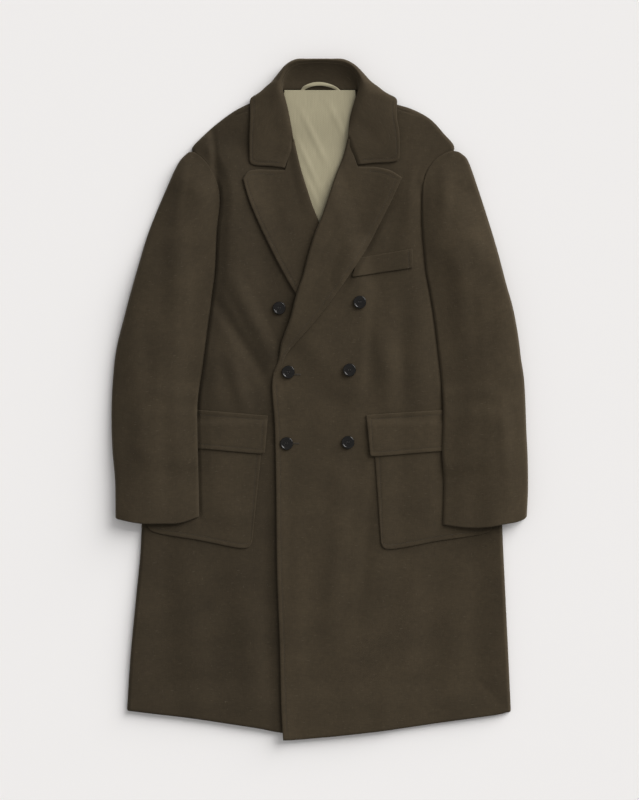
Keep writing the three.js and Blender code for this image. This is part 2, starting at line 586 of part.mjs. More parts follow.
// A three.js geometry as a solid to cut, without the empty triangles at a lathe's poles.
function solid(geometry) {
  geometry.deleteAttribute('normal');
  geometry.deleteAttribute('uv');
  const merged = mergeVertices(geometry, 0.001);
  const triVerts = [];
  for (let i = 0; i < merged.index.count; i += 3) {
    const triangle = merged.index.array.slice(i, i + 3);
    if (new Set(triangle).size === 3) triVerts.push(...triangle);
  }
  return new wasm.Manifold(new wasm.Mesh({
    numProp: 3,
    vertProperties: new Float32Array(merged.attributes.position.array),
    triVerts: new Uint32Array(triVerts),
  }));
}

// A turned disc with a raised rim round a shallow dish and four holes.
function button({ name, x, y, top }) {
  const r = BUTTON_RADIUS;
  const h = BUTTON_HEIGHT;
  const profile = [
    [0, 0.5], [r - 4, 0.2], [r - 0.8, 1.2], [r, 2.2], [r - 0.4, h - 0.4], [r - 1.4, h],
    [r - 2.6, h - 0.5], [r - 3.8, h - 1.1], [0, h - 1.3],
  ];
  const upright = Math.PI / 2;
  const points = profile.map(([radius, height]) => new THREE.Vector2(radius, height));
  let body = solid(new THREE.LatheGeometry(points, 14).rotateX(upright));
  [[1, 1], [-1, 1], [-1, -1], [1, -1]].forEach(([sx, sy]) => {
    const hole = new THREE.CylinderGeometry(0.9, 0.9, 2 * h, 5).rotateX(upright);
    body = body.subtract(solid(hole.translate(1.7 * sx, 1.7 * sy, h / 2)));
  });
  const turns = shares(12).map((t) => 2 * Math.PI * t);
  const heights = turns.map((t) => top(x + r * Math.cos(t), y + r * Math.sin(t)));
  const mesh = body.getMesh();
  const geometry = new THREE.BufferGeometry();
  geometry.setAttribute('position', new THREE.Float32BufferAttribute(mesh.vertProperties, 3));
  geometry.setIndex(Array.from(mesh.triVerts));
  geometry.translate(x, y, Math.max(top(x, y), ...heights) + GAP);
  add(name, geometry, HORN);
}

BUTTONS.forEach(button);

export default coat;
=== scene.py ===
# %% [markdown]
# # A double-breasted wool overcoat, laid flat
# This lesson dresses a finished CAD model of the coat. Every panel of cloth is worked out with
# numpy as a surface of two parameters, and the cloth, the lining and the buttons get materials
# made of nodes. Shapes are worked out in millimetres and go into the meshes in metres.
# Left and right in the names are the wearer's, so the right front lies at negative X.

# %% The frame
import math

import bpy
import numpy as np
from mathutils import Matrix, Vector


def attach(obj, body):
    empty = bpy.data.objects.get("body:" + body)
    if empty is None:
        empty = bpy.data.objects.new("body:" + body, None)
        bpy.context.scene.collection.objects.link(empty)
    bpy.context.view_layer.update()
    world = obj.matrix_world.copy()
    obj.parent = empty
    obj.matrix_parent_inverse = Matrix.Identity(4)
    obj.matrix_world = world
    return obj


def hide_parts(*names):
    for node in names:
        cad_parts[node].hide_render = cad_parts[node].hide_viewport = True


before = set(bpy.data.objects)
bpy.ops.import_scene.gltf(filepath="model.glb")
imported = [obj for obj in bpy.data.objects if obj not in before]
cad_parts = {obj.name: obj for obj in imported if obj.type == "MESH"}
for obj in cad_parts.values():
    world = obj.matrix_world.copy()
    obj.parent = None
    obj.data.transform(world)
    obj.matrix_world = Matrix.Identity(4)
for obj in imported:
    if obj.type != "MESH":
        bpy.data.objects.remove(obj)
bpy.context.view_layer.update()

MM = 0.001
WALL = 2.6  # melton cloth with its backing
POCKET_WALL = 2.2
LINING_WALL = 1.0
STAND_WALL = 1.0
GAP = 0.4  # air between layers
LAYER = WALL + GAP
POCKET_LAYER = POCKET_WALL + GAP

# %% [markdown]
# ## Camera and light
# The coat lies on a pale floor and the camera looks straight down from 4 m, which is high enough
# that its thickness hardly shows. The lens is worked out from the picture's height in pixels and
# the 1.75 mm that a pixel covers. A broad, low sun from the upper right and an even pale sky
# give the soft shadow on the left and at the hem, and shade the folds. A second sun is small and
# weak: it only puts a sharp glint on the polished buttons.

# %% Camera
IMAGE_HEIGHT = 800
MM_PER_PIXEL = 1.75
CAMERA_HEIGHT = 4.0
CLOTH_LEVEL = 0.01
scene = bpy.context.scene


def placed(name, data, location=(0, 0, 0), rotation=(0, 0, 0)):
    """Links new data to the scene at a place and a turn in radians."""
    thing = bpy.data.objects.new(name, data)
    scene.collection.objects.link(thing)
    thing.location = location
    thing.rotation_euler = rotation
    return thing


camera = placed("camera", bpy.data.cameras.new("camera"), (-0.0004, -0.0009, CAMERA_HEIGHT))
camera.data.sensor_width = 36
camera.data.lens = 36 * (CAMERA_HEIGHT - CLOTH_LEVEL) / (IMAGE_HEIGHT * MM_PER_PIXEL * MM)
camera.data.clip_end = 100
scene.camera = camera
scene.view_settings.view_transform = "Standard"
print("lens", round(camera.data.lens, 1), "mm")

# %% Light
SUN_STRENGTH = 3.75
SUN_SPREAD = 46  # degrees across, so that shadows are soft
SUN_PLACE = (24, 42)  # elevation, and azimuth from +X towards +Y, in degrees
GLINT_STRENGTH = 0.24
GLINT_SPREAD = 4.5
GLINT_PLACE = (52, 50)
SKY_STRENGTH = 0.46
SUN_COLOR = (1.0, 0.985, 0.965)


def add_sun(name, strength, spread, place):
    """A sun whose rays come from an elevation and an azimuth."""
    elevation, azimuth = (math.radians(angle) for angle in place)
    level = math.cos(elevation)
    rays = Vector((-level * math.cos(azimuth), -level * math.sin(azimuth), -math.sin(elevation)))
    made = placed(name, bpy.data.lights.new(name, "SUN"), (1, 1, 2),
                  rays.to_track_quat("-Z", "Y").to_euler())
    made.data.energy = strength
    made.data.angle = math.radians(spread)
    made.data.color = SUN_COLOR


add_sun("sun", SUN_STRENGTH, SUN_SPREAD, SUN_PLACE)
add_sun("glint", GLINT_STRENGTH, GLINT_SPREAD, GLINT_PLACE)
world = bpy.data.worlds.new("studio")
scene.world = world
world.use_nodes = True
world.node_tree.nodes["Background"].inputs["Color"].default_value = (1.0, 0.985, 0.97, 1)
world.node_tree.nodes["Background"].inputs["Strength"].default_value = SKY_STRENGTH

# %% [markdown]
# ## Materials
# Melton is a heavy wool whose weave is hidden by a short felted nap, so close up it shows fibres
# and not threads. Noises make it: fine grain for the nap, thin streaks for the yarns beneath,
# which run across the coat and along it, small felted patches, and broad soft clouds. A few
# paler slubs lie on top. All of them read the cloth map, a UV map in metres of the flat cloth,
# so that the grain follows each panel round its folds. Three more materials are lit and shaded
# copies of it, with painted light and shade: their colour is scaled darker and lighter, so that
# some panels look more or less lit.

# %% Node helpers
def principled(name, color, roughness, **inputs):
    """A material whose constants are set on the shader's own sockets."""
    made = bpy.data.materials.new(name)
    made.use_nodes = True
    shader = made.node_tree.nodes["Principled BSDF"]
    shader.inputs["Base Color"].default_value = (*color, 1)
    shader.inputs["Roughness"].default_value = roughness
    for socket, value in inputs.items():
        shader.inputs[socket.replace("_", " ")].default_value = value
    return made, made.node_tree, shader


def node(tree, kind, links=(), **values):
    """A new node: values are set by name on the node or on its sockets, and links join
    sockets of other nodes to its own."""
    made = tree.nodes.new(kind)
    for key, value in values.items():
        if hasattr(made, key):
            setattr(made, key, value)
        else:
            made.inputs[key.replace("_", " ")].default_value = value
    for socket, source in links:
        tree.links.new(made.inputs[socket], source)
    return made


def stretched_noise(tree, vector, size, turn=0.0, detail=3.0, rough=0.5):
    """Noise whose grains measure size = (along x, along y) metres, turned about Z."""
    mapping = node(tree, "ShaderNodeMapping", [("Vector", vector)])
    mapping.inputs["Rotation"].default_value = (0, 0, turn)
    mapping.inputs["Scale"].default_value = (1 / size[0], 1 / size[1], 1 / size[1])
    noise = node(tree, "ShaderNodeTexNoise", [("Vector", mapping.outputs["Vector"])],
                 Scale=1.0, Detail=detail, Roughness=rough)
    return noise.outputs["Fac"]


def remap(tree, value, low, high, to_low, to_high):
    """A value from low..high carried to to_low..to_high, and held at the ends."""
    return node(tree, "ShaderNodeMapRange", [("Value", value)], From_Min=low, From_Max=high,
                To_Min=to_low, To_Max=to_high).outputs["Result"]


def combined(tree, operation, first, second):
    """Two values put together with one math operation."""
    made = node(tree, "ShaderNodeMath", operation=operation)
    for i, value in enumerate((first, second)):
        if isinstance(value, (int, float)):
            made.inputs[i].default_value = value
        else:
            tree.links.new(made.inputs[i], value)
    return made.outputs["Value"]


def tinted(tree, color, factor, other=None, share=None):
    """A colour times a factor, mixed with another colour by a share where one is given."""
    scaled = node(tree, "ShaderNodeVectorMath", operation="SCALE")
    scaled.inputs[0].default_value = color
    tree.links.new(scaled.inputs["Scale"], factor)
    if other is None:
        return scaled.outputs["Vector"]
    mix = node(tree, "ShaderNodeMix", data_type="RGBA")
    tree.links.new(mix.inputs["Factor"], share)
    tree.links.new(mix.inputs[6], scaled.outputs["Vector"])
    mix.inputs[7].default_value = (*other, 1)
    return mix.outputs[2]


# %% Wool
WOOL_COLOR = (0.0375, 0.0280, 0.0163)
WOOL_FIBRE = (0.105, 0.086, 0.060)


def make_wool(name, color, fibre, painted_brightness=1.0):
    """Melton: grain, yarn streaks, felted patches, clouds and a few pale slubs, with a soft
    sheen. The last argument paints light and shade by scaling the colour: 1 is the plain cloth."""
    color = tuple(painted_brightness * part for part in color)
    made, tree, shader = principled(
        name, color, 0.92, Specular_IOR_Level=0.18, Sheen_Weight=0.14, Sheen_Roughness=0.5,
        Sheen_Tint=(0.62, 0.53, 0.38, 1))
    cloth = node(tree, "ShaderNodeUVMap", uv_map="cloth").outputs["UV"]
    nap = stretched_noise(tree, cloth, (0.0011, 0.0009), detail=4.0, rough=0.65)
    weft = stretched_noise(tree, cloth, (0.011, 0.0024), turn=0.03, detail=3.0, rough=0.6)
    warp = stretched_noise(tree, cloth, (0.0026, 0.016), detail=2.0)
    clouds = stretched_noise(tree, cloth, (0.07, 0.055), detail=2.0)
    felted = stretched_noise(tree, cloth, (0.010, 0.008), turn=0.4, detail=3.0, rough=0.6)
    slubs = [stretched_noise(tree, cloth, size, turn=turn, detail=0.0)
             for size, turn in (((0.0085, 0.0011), 0.06), ((0.0012, 0.0070), -0.1))]
    tone = remap(tree, nap, 0.25, 0.75, 0.80, 1.20)
    for noise, low, swing in ((weft, 0.28, 0.08), (felted, 0.3, 0.07), (warp, 0.3, 0.05),
                              (clouds, 0.3, 0.10)):
        share = remap(tree, noise, low, 1 - low, 1 - swing, 1 + swing)
        tone = combined(tree, "MULTIPLY", tone, share)
    share = combined(tree, "ADD", remap(tree, slubs[0], 0.76, 0.86, 0.0, 0.45),
                     remap(tree, slubs[1], 0.78, 0.88, 0.0, 0.4))
    tree.links.new(shader.inputs["Base Color"], tinted(tree, color, tone, fibre, share))
    rough = remap(tree, nap, 0.3, 0.7, 0.84, 0.98)
    tree.links.new(shader.inputs["Roughness"], rough)
    height = combined(tree, "ADD", nap, combined(tree, "MULTIPLY", weft, 0.8))
    bump = node(tree, "ShaderNodeBump", [("Height", height)], Strength=0.32, Distance=0.0005)
    tree.links.new(shader.inputs["Normal"], bump.outputs["Normal"])
    return made


wool = make_wool("melton_wool", WOOL_COLOR, WOOL_FIBRE)
# Painted light and shade: three copies of the melton, their colour scaled by 0.88, 1.10 and 1.19 so
# that the panels wearing them look shaded, lit and brightly lit.
wool_painted_shade = make_wool("melton_painted_shade", WOOL_COLOR, WOOL_FIBRE, 0.88)
wool_painted_light = make_wool("melton_painted_light", WOOL_COLOR, WOOL_FIBRE, 1.10)
wool_painted_brightest = make_wool("melton_painted_brightest", WOOL_COLOR, WOOL_FIBRE, 1.19)
print("made four lit_and_shaded_copies of", wool.name)

# %% [markdown]
# The lining is a beige twill with a faint shine. Its fine diagonal ribs are a wave with a little
# noise, and its folds are in the mesh. Sewing thread is close to the wool's own colour.

# %% Lining and thread
LINING_COLOR = (0.345, 0.312, 0.207)


def make_lining(name, color):
    """Twill: diagonal ribs 0.9 mm apart, yarn streaks along the cloth and a soft sheen."""
    made, tree, shader = principled(name, color, 0.5, Specular_IOR_Level=0.4,
                                    Sheen_Weight=0.15, Sheen_Roughness=0.4)
    cloth = node(tree, "ShaderNodeUVMap", uv_map="cloth").outputs["UV"]
    turned = node(tree, "ShaderNodeMapping", [("Vector", cloth)])
    turned.inputs["Rotation"].default_value = (0, 0, math.radians(50))
    ribs = node(tree, "ShaderNodeTexWave", [("Vector", turned.outputs["Vector"])],
                Scale=1 / (0.0009 * 2 * math.pi) * math.pi / 5, Distortion=1.5, Detail=1.0,
                Detail_Scale=2.0).outputs["Fac"]
    yarn = stretched_noise(tree, cloth, (0.0012, 0.03), detail=2.0)
    clouds = stretched_noise(tree, cloth, (0.05, 0.04), detail=1.0)
    tone = combined(tree, "MULTIPLY", remap(tree, ribs, 0, 1, 0.95, 1.04),
                    remap(tree, yarn, 0.3, 0.7, 0.94, 1.05))
    tone = combined(tree, "MULTIPLY", tone, remap(tree, clouds, 0.3, 0.7, 0.96, 1.03))
    tree.links.new(shader.inputs["Base Color"], tinted(tree, color, tone))
    tree.links.new(shader.inputs["Roughness"], remap(tree, yarn, 0.3, 0.7, 0.42, 0.58))
    bump = node(tree, "ShaderNodeBump", [("Height", ribs)], Strength=0.25, Distance=0.0002)
    tree.links.new(shader.inputs["Normal"], bump.outputs["Normal"])
    return made


def make_thread(name, color):
    """Twisted thread: a fine wave along each stitch."""
    made, tree, shader = principled(name, color, 0.75, Sheen_Weight=0.1)
    place = node(tree, "ShaderNodeTexCoord").outputs["Object"]
    twist = stretched_noise(tree, place, (0.0004, 0.0004), detail=1.0)
    tone = remap(tree, twist, 0.3, 0.7, 0.75, 1.25)
    tree.links.new(shader.inputs["Base Color"], tinted(tree, color, tone))
    bump = node(tree, "ShaderNodeBump", [("Height", twist)], Strength=0.5, Distance=0.0002)
    tree.links.new(shader.inputs["Normal"], bump.outputs["Normal"])
    return made


lining_twill = make_lining("lining_twill", LINING_COLOR)
thread = make_thread("sewing_thread", (0.033, 0.025, 0.0155))
button_thread = make_thread("button_thread", (0.012, 0.010, 0.008))

# %% [markdown]
# The buttons look like dark horn, so they have a polished coat over a nearly black body with
# faint brown veins.

# %% Horn
HORN_COLOR = (0.0042, 0.0034, 0.0030)


def make_horn(name, color):
    """Polished horn: veins from a stretched noise under a clear coat."""
    made, tree, shader = principled(name, color, 0.3, Coat_Weight=0.6, Coat_Roughness=0.06,
                                    Specular_IOR_Level=0.06)
    place = node(tree, "ShaderNodeTexCoord").outputs["Object"]
    veins = stretched_noise(tree, place, (0.009, 0.0022), turn=0.5, detail=4.0, rough=0.6)
    tone = remap(tree, veins, 0.45, 0.75, 0.7, 2.4)
    tree.links.new(shader.inputs["Base Color"], tinted(tree, color, tone))
    tree.links.new(shader.inputs["Roughness"], remap(tree, veins, 0.3, 0.7, 0.16, 0.3))
    scratches = stretched_noise(tree, place, (0.0008, 0.0008), detail=2.0)
    bump = node(tree, "ShaderNodeBump", [("Height", scratches)], Strength=0.05, Distance=0.0002)
    tree.links.new(shader.inputs["Normal"], bump.outputs["Normal"])
    return made


horn = make_horn("dark_horn", HORN_COLOR)

# %% [markdown]
# ## Curves and patches
# The coat's outlines are smooth curves through measured points. A panel is a patch between four
# of them: each point is a blend of the opposite edges less the blend of the corners, which keeps
# all four edges exact. Whole grids of points are worked out at once.

# %% Curves
def spline(points, at):
    """Centripetal Catmull-Rom through points (n, ..., d): at runs from 0 to 1, evenly over the
    spans. A span is the cubic whose end slopes come from its neighbours, with each span's
    length taken as the square root of the distance."""
    p = np.asarray(points, float)
    p = np.concatenate([[2 * p[0] - p[1]], p, [2 * p[-1] - p[-2]]])
    gap = np.maximum(np.linalg.norm(np.diff(p, axis=0), axis=-1), 1e-6) ** 0.5
    spans = len(p) - 3
    place = np.asarray(at, float) * spans
    i = np.clip(np.floor(place), 0, spans - 1).astype(int)
    s = (place - i).reshape(i.shape + (1,) * (p.ndim - 1))
    a, b, c, d = (p[i + k] for k in range(4))
    ga, gb, gc = (gap[i + k][..., None] for k in range(3))
    start = ((b - a) / ga - (c - a) / (ga + gb) + (c - b) / gb) * gb
    stop = ((c - b) / gb - (d - b) / (gb + gc) + (d - c) / gc) * gb
    cube = (2 * b - 2 * c + start + stop) * s ** 3
    return b + start * s + (3 * c - 3 * b - 2 * start - stop) * s ** 2 + cube


def through(*points):
    """The spline through the points as a curve of v from 0 to 1 at an even pace."""
    shares = np.linspace(0, 1, 500)
    dense = spline(points, shares)
    length = np.append(0, np.cumsum(np.linalg.norm(np.diff(dense, axis=0), axis=1)))
    return lambda v: spline(points, np.interp(v, length / length[-1], shares))


def path(curves, breaks):
    """Several curves end to end, the breaks being the v where one gives way to the next."""
    ends = [0, *breaks, 1]

    def curve(v):
        v = np.atleast_1d(np.asarray(v, float))
        which = np.searchsorted(breaks, v, side="left")
        found = np.zeros(v.shape + (2,))
        for k, part in enumerate(curves):
            found[which == k] = part((v[which == k] - ends[k]) / (ends[k + 1] - ends[k]))
        return found

    return curve


def straight(a, b):
    """The straight line from a to b."""
    a, b = np.ravel(a), np.ravel(b)
    return lambda u: a + np.asarray(u)[..., None] * (b - a)


def backwards(curve):
    """The same curve from its end to its start."""
    return lambda v: curve(1 - np.asarray(v))


def across(curve, v):
    """Unit vectors square to a curve, towards +X where it runs up."""
    v = np.atleast_1d(v)
    along = curve(np.minimum(1, v + 0.004)) - curve(np.maximum(0, v - 0.004))
    square = np.stack([along[:, 1], -along[:, 0]], axis=1)
    return square / np.linalg.norm(square, axis=1, keepdims=True)


def patch(left, right, bottom, top, us, vs):
    """Points of a patch between four curves: us is one row of shares or a row for each v."""
    us = np.broadcast_to(us, (len(vs), np.shape(us)[-1]))
    u, v = us[..., None], np.asarray(vs)[:, None, None]
    sides = left(vs)[:, None] * (1 - u) + right(vs)[:, None] * u
    ends = bottom(us.ravel()).reshape(u.shape[:2] + (2,)) * (1 - v)
    ends = ends + top(us.ravel()).reshape(u.shape[:2] + (2,)) * v
    zero, one = np.zeros(1), np.ones(1)
    corners = left(zero) * (1 - u) * (1 - v) + right(zero) * u * (1 - v)
    return sides + ends - corners - left(one) * (1 - u) * v - right(one) * u * v


def columns(widths, first, last, count):
    """Shares of each row's width: close steps in mm from both edges and even ones between."""
    width = np.atleast_1d(np.asarray(widths, float))[:, None]
    first, last = np.asarray(first, float), np.asarray(last, float)
    low = np.minimum(1, 0.42 * width / first[-1]) * first / width
    high = 1 - np.minimum(1, 0.42 * width / last[-1]) * last / width
    middle = np.linspace(0, 1, count + 2)[1:-1]
    between = low[:, -1:] + middle * (high[:, -1:] - low[:, -1:])
    return np.hstack([low, between, high[:, ::-1]])


def ease(low, high, x):
    """0 below low, 1 above high, and a smooth cubic between."""
    t = np.clip((np.asarray(x, float) - low) / (high - low), 0, 1)
    return t * t * (3 - 2 * t)


EDGE_STEPS = [0, 0.35, 0.8, 1.5, 2.6, 4.2, 5.8, 7, 7.6, 8.2, 8.8, 9.8, 11.5, 14]
PLAIN_STEPS = [0, 0.35, 0.8, 1.5, 2.6, 4.5]

# %% [markdown]
# ## The coat's outlines
# These are the measured outlines of the body, the lapels, the sleeves and the pockets. Each side
# runs up its side seam to the armpit, round the armhole and along the shoulder. Each centre edge
# runs up to the break, then along the lapel's roll line and then along the neck seam.

# %% Body outlines
SIDE_BREAKS = [0.58, 0.8]
CENTRE_BREAKS = [0.5, 0.8]
side_right = path([
    through([-338, -545], [-332, -451], [-323.5, -361], [-314.5, -268], [-312, -217],
            [-303, -100], [-294, 20], [-285, 120], [-279, 186]),
    through([-279, 186], [-262, 208], [-238, 238], [-212, 278], [-192, 325], [-184, 364],
            [-192, 390], [-204, 408], [-222, 430]),
    through([-222, 430], [-224, 440], [-205, 461.5], [-179, 484.5], [-147, 507], [-116, 522],
            [-90, 533.5], [-76, 538.8]),
], SIDE_BREAKS)
side_left = path([
    through([335.4, -547], [331, -453], [326.5, -360], [322, -266], [320, -223], [312, -100],
            [305, 20], [299, 120], [294, 186]),
    through([294, 186], [276, 208], [250, 238], [222, 278], [198, 325], [189, 368], [195, 392],
            [208, 408], [232, 428]),
    through([232, 428], [236, 443], [217.5, 466.5], [193.5, 492], [163, 508.5], [129, 519],
            [92, 533.5], [76, 539.2]),
], SIDE_BREAKS)
roll_right = through([76, 48], [66, 75], [48, 135], [36, 181], [23, 225], [-1.3, 311],
                     [-12.7, 340], [-22.5, 370], [-32.3, 402], [-40.3, 435], [-45, 456])
roll_left = through([-81, 48], [-72.4, 69], [-67.3, 99], [-52, 141], [-41.6, 181.5],
                    [-28.8, 220], [-21, 251], [-8.3, 292], [2.2, 317.6], [27.7, 392],
                    [41.2, 427], [48.4, 456])
front_edge_right = through([70, -580], [73, -300], [76, -100], [76, 48])
front_edge_left = through([-64, -596], [-67, -547], [-70.3, -422], [-74.8, -297], [-76.6, -141],
                          [-79, -41], [-83.4, 26], [-81, 48])
neck_right = through([-53.5, 459], [-60.5, 490], [-66.5, 510], [-71, 531])
neck_left = through([56.5, 459], [63.5, 490], [69.5, 510], [72, 531])
hem_right = through([-334, -545.8], [-294.4, -550.5], [-222, -559], [-164, -567.7],
                    [-106, -576.5], [-67, -583.6], [0, -584], [70, -580])
hem_left = through([331, -551], [318, -554.5], [270.5, -561], [208, -569], [114, -581.5],
                   [20, -591], [0, -592.5], [-48, -596], [-64, -596])
hem_back = through([-334, -541], [-222, -554], [-100, -570], [0, -578], [120, -574],
                   [220, -562], [331, -544])
lapel_edge_right = through([62, 52], [50, 78], [28, 102], [-10, 142], [-43, 187], [-69.7, 233],
                           [-88, 269], [-106, 307], [-124, 351], [-134, 386])
lapel_edge_left = through([-67, 55], [-59, 77], [-13.6, 130.4], [22.7, 176.4], [74, 251],
                          [101.6, 302], [121.5, 340], [144, 388])
lapel_end_right = path([
    through([-45, 456], [-52, 430], [-60.5, 401.5]),
    through([-60.5, 401.5], [-88, 402.2], [-112, 402.2], [-125, 398.5], [-134, 386]),
], [0.42])
lapel_end_left = path([
    through([48.4, 456], [57, 432], [66.4, 407.4]),
    through([66.4, 407.4], [85, 407.4], [101.6, 406.4], [124, 400.5], [144, 388]),
], [0.4])


def outline(*curves):
    """A closed outline of 25 points a curve."""
    return np.concatenate([curve(np.linspace(0, 1, 25)) for curve in curves])


def part_of(side, low, high):
    """The stretch of a side from v low to v high."""
    return lambda v: side(low + np.asarray(v) * (high - low))


body_outline = outline(part_of(side_right, 0, 0.8), part_of(side_right, 0.8, 1),
                       part_of(side_left, 1, 0.8), part_of(side_left, 0.8, 0))
front_right_outline = outline(part_of(side_right, 0, 0.8), part_of(side_right, 0.8, 1),
                              backwards(neck_right), backwards(roll_right),
                              backwards(front_edge_right))
lapel_right_outline = outline(roll_right, lapel_end_right, backwards(lapel_edge_right))

SLEEVE_RIGHT = {
    "outer": through([-358, -208], [-359, -142], [-363.6, -88], [-365.3, -27], [-363, 32],
                     [-357, 86], [-342, 148], [-330, 193], [-315, 245], [-303, 285],
                     [-284.5, 333], [-269, 369], [-254, 403], [-243.5, 421], [-230, 434]),
    "inner": through([-211, -205], [-213, -102], [-214.5, -21.5], [-213, 5], [-205, 59],
                     [-200, 99], [-190, 175], [-184, 221], [-180, 297], [-175, 342],
                     [-176, 367]),
    "cuff": through([-358, -208], [-317.5, -216], [-278, -217], [-245, -216], [-211, -205]),
    "head": through([-230, 434], [-216.6, 432], [-199.6, 418], [-187, 398], [-176, 367]),
}
SLEEVE_LEFT = {
    "outer": through([363, -206], [365.3, -156], [364.6, -100], [362.5, -55], [358.5, 34],
                     [353, 72], [348.5, 108.5], [339, 160], [327, 203], [312, 260],
                     [293.6, 321], [278, 369], [263, 412], [257, 424], [243, 435]),
    "inner": through([215, -219], [217, -144], [214, -90], [216, -19], [213, 34], [207, 90],
                     [201, 139], [193.5, 187], [187, 221], [183, 260], [180, 297], [179, 340],
                     [180, 372]),
    "cuff": through([363, -206], [348, -213], [321, -218], [292, -223], [259, -224],
                    [215, -219]),
    "head": through([243, 435], [227, 434], [212, 427], [199, 416.5], [187, 398], [180, 372]),
}


def sleeve_outline(curves):
    """A sleeve's closed outline: up its outer fold, over its head and down its inner fold."""
    return outline(curves["outer"], curves["head"], backwards(curves["inner"]),
                   backwards(curves["cuff"]))


sleeve_right_outline = sleeve_outline(SLEEVE_RIGHT)
sleeve_left_outline = sleeve_outline(SLEEVE_LEFT)

POCKET_RIGHT = np.array([[-303, -229.5], [-120, -263], [-98, -52], [-290, -52]])
POCKET_LEFT = np.array([[108, -264.5], [303, -231.5], [297, -52], [93, -52]])
FLAP_RIGHT = np.array([[-287, -79.5], [-96.2, -95], [-90.6, -28.4], [-283, -12.5]])
FLAP_LEFT = np.array([[88.5, -99.5], [293, -84.5], [290, -13.5], [81, -27.1]])
WELT = np.array([[56, 214.5], [163.5, 230.5], [162.5, 263.6], [66, 247.5]])
print("hem is", round(hem_left(0)[0] - hem_right(0)[0]), "mm wide")

# %% [markdown]
# ## How high the cloth lies
# The coat is a pile of layers, so a panel's height at any place is the sum of what lies beneath
# it. A layer that ends shows through the one above as a soft step. Long soft folds are added as
# cosine ridges about straight lines, and a sum of broad sine waves keeps the cloth from looking
# ironed. Whatever lies on a panel uses the panel's own height, so nothing cuts through.

# %% Distances and folds
def apart(edge, xy):
    """Distance from each point to a closed outline, below 0 inside it: the nearest foot of a
    perpendicular on any side, and inside where a ray crosses an odd number of sides."""
    points = xy.reshape(-1, 2)
    a, b = edge, np.roll(edge, -1, axis=0)
    d = b - a
    square = np.maximum((d * d).sum(1), 1e-9)
    found = np.empty(len(points))
    for start in range(0, len(points), 20000):
        p = points[start:start + 20000, None]
        t = np.clip(((p - a) * d).sum(-1) / square, 0, 1)
        near = np.hypot(*np.moveaxis(p - a - t[..., None] * d, -1, 0)).min(1)
        crossed = (a[:, 1] > p[..., 1]) != (b[:, 1] > p[..., 1])
        rise = np.where(d[:, 1] == 0, 1, d[:, 1])
        meets = a[:, 0] + (p[..., 1] - a[:, 1]) / rise * d[:, 0]
        inside = (crossed & (p[..., 0] < meets)).sum(1) % 2 == 1
        found[start:start + 20000] = np.where(inside, -near, near)
    return found.reshape(xy.shape[:-1])


def over(edge, xy, margin=34, ramp=40):
    """1 over a piece and a margin round it, coming down to 0 past that."""
    return 1 - ease(margin, margin + ramp, apart(edge, xy))


def folded(folds, xy):
    """Sum of folds, each a row x0, y0, x1, y1, width, rise: the rise times a sine along the
    line times a squared cosine across it."""
    total = np.zeros(xy.shape[:-1])
    for x0, y0, x1, y1, width, rise in folds:
        dx, dy = x1 - x0, y1 - y0
        long = math.hypot(dx, dy)
        t = np.clip(((xy[..., 0] - x0) * dx + (xy[..., 1] - y0) * dy) / long ** 2, 0, 1)
        side = np.abs((xy[..., 0] - x0) * dy - (xy[..., 1] - y0) * dx) / long
        section = np.cos(np.pi / 2 * np.minimum(1, side / width)) ** 2
        total += rise * np.sin(np.pi * t) * section
    return total


def groove(line, xy, depth, width):
    """A stitched-down line: minus the depth times a bell curve of the distance to the line."""
    a, b = line[:-1], line[1:]
    p = xy.reshape(-1, 1, 2)
    t = np.clip(((p - a) * (b - a)).sum(-1) / ((b - a) ** 2).sum(1), 0, 1)
    near = np.hypot(*np.moveaxis(p - a - t[..., None] * (b - a), -1, 0)).min(1)
    return -depth * np.exp(-(near.reshape(xy.shape[:-1]) / width) ** 2)


SOFT_WAVES = [(150, 0.3, 0.1), (110, 0.1, 2.0), (190, 2.8, 4.1), (82, 2.95, 5.0),
              (230, 0.9, 3.3), (64, 0.2, 1.2), (96, 1.5, 2.6)]


def uneven(xy, height=0.13):
    """Broad unevenness: a sum of sine waves, each with its length in mm, its direction and
    its start."""
    total = np.zeros(xy.shape[:-1])
    for length, turn, start in SOFT_WAVES:
        along = xy[..., 0] * math.cos(turn) + xy[..., 1] * math.sin(turn)
        total += np.sin(2 * np.pi * along / length + start + 0.6 * np.sin(along / 37))
    return height * total


# %% Heights of the fronts
FOLDS_RIGHT = [
    [-166, 470, -150, 218, 27, 2.0],  # the chest beside the sleeve
    [-164, 236, -62, 34, 24, 5.4],  # the drag from the armpit to the middle button
    [-196, 196, -78, 6, 17, -4.2],  # and the trough below it
    [-158, 90, -128, -30, 20, 3.8],
    [-196, 120, -176, -30, 22, 1.6],
    [-177, 350, -190, 492, 10, -3.4],  # the crease from the sleeve up to the shoulder
    [-238, -160, -215, -580, 46, 3.9],  # long waves of the skirt
    [-150, -230, -106, -590, 38, 3.0],
    [-96, 330, -72, 196, 26, 1.8],
    [-94, -110, -84, -620, 20, -2.6],  # beside the left front's edge
]
FOLDS_LEFT = [
    [172, 430, 156, 250, 24, 1.6],  # the chest beside the sleeve
    [138, 372, 120, 236, 24, -1.8],  # its hollow beside the lapel
    [118, 212, 124, -48, 28, 4.6],  # the drag beside the buttons
    [176, 190, 168, -40, 30, 2.6],
    [104, 190, 24, -170, 26, 1.5],
    [44, -104, 18, -430, 30, 3.0],
    [172, -230, 130, -600, 46, 3.6],
    [252, -260, 226, -590, 40, 2.2],
    [-38, -150, -46, -596, 26, 1.8],
]
TROUGHS = [  # troughs where the left front lies on the right one, so both of them sink
    [154, 396, 14, 148, 13, -3.4],  # the hollow along the left lapel's edge
    [92, 190, 84, -8, 16, -2.6],
    [100, -84, 64, -420, 19, -2.1],
]
WAIST_RISE = 2.6  # how far the front stands up beside a sleeve, below its canvassed chest
SIDE_SPRING = 4.4  # how far a folded side or hem springs up
HEAD_RISE_RIGHT, HEAD_RISE_LEFT = 4.3, 3.5  # the padded shoulders
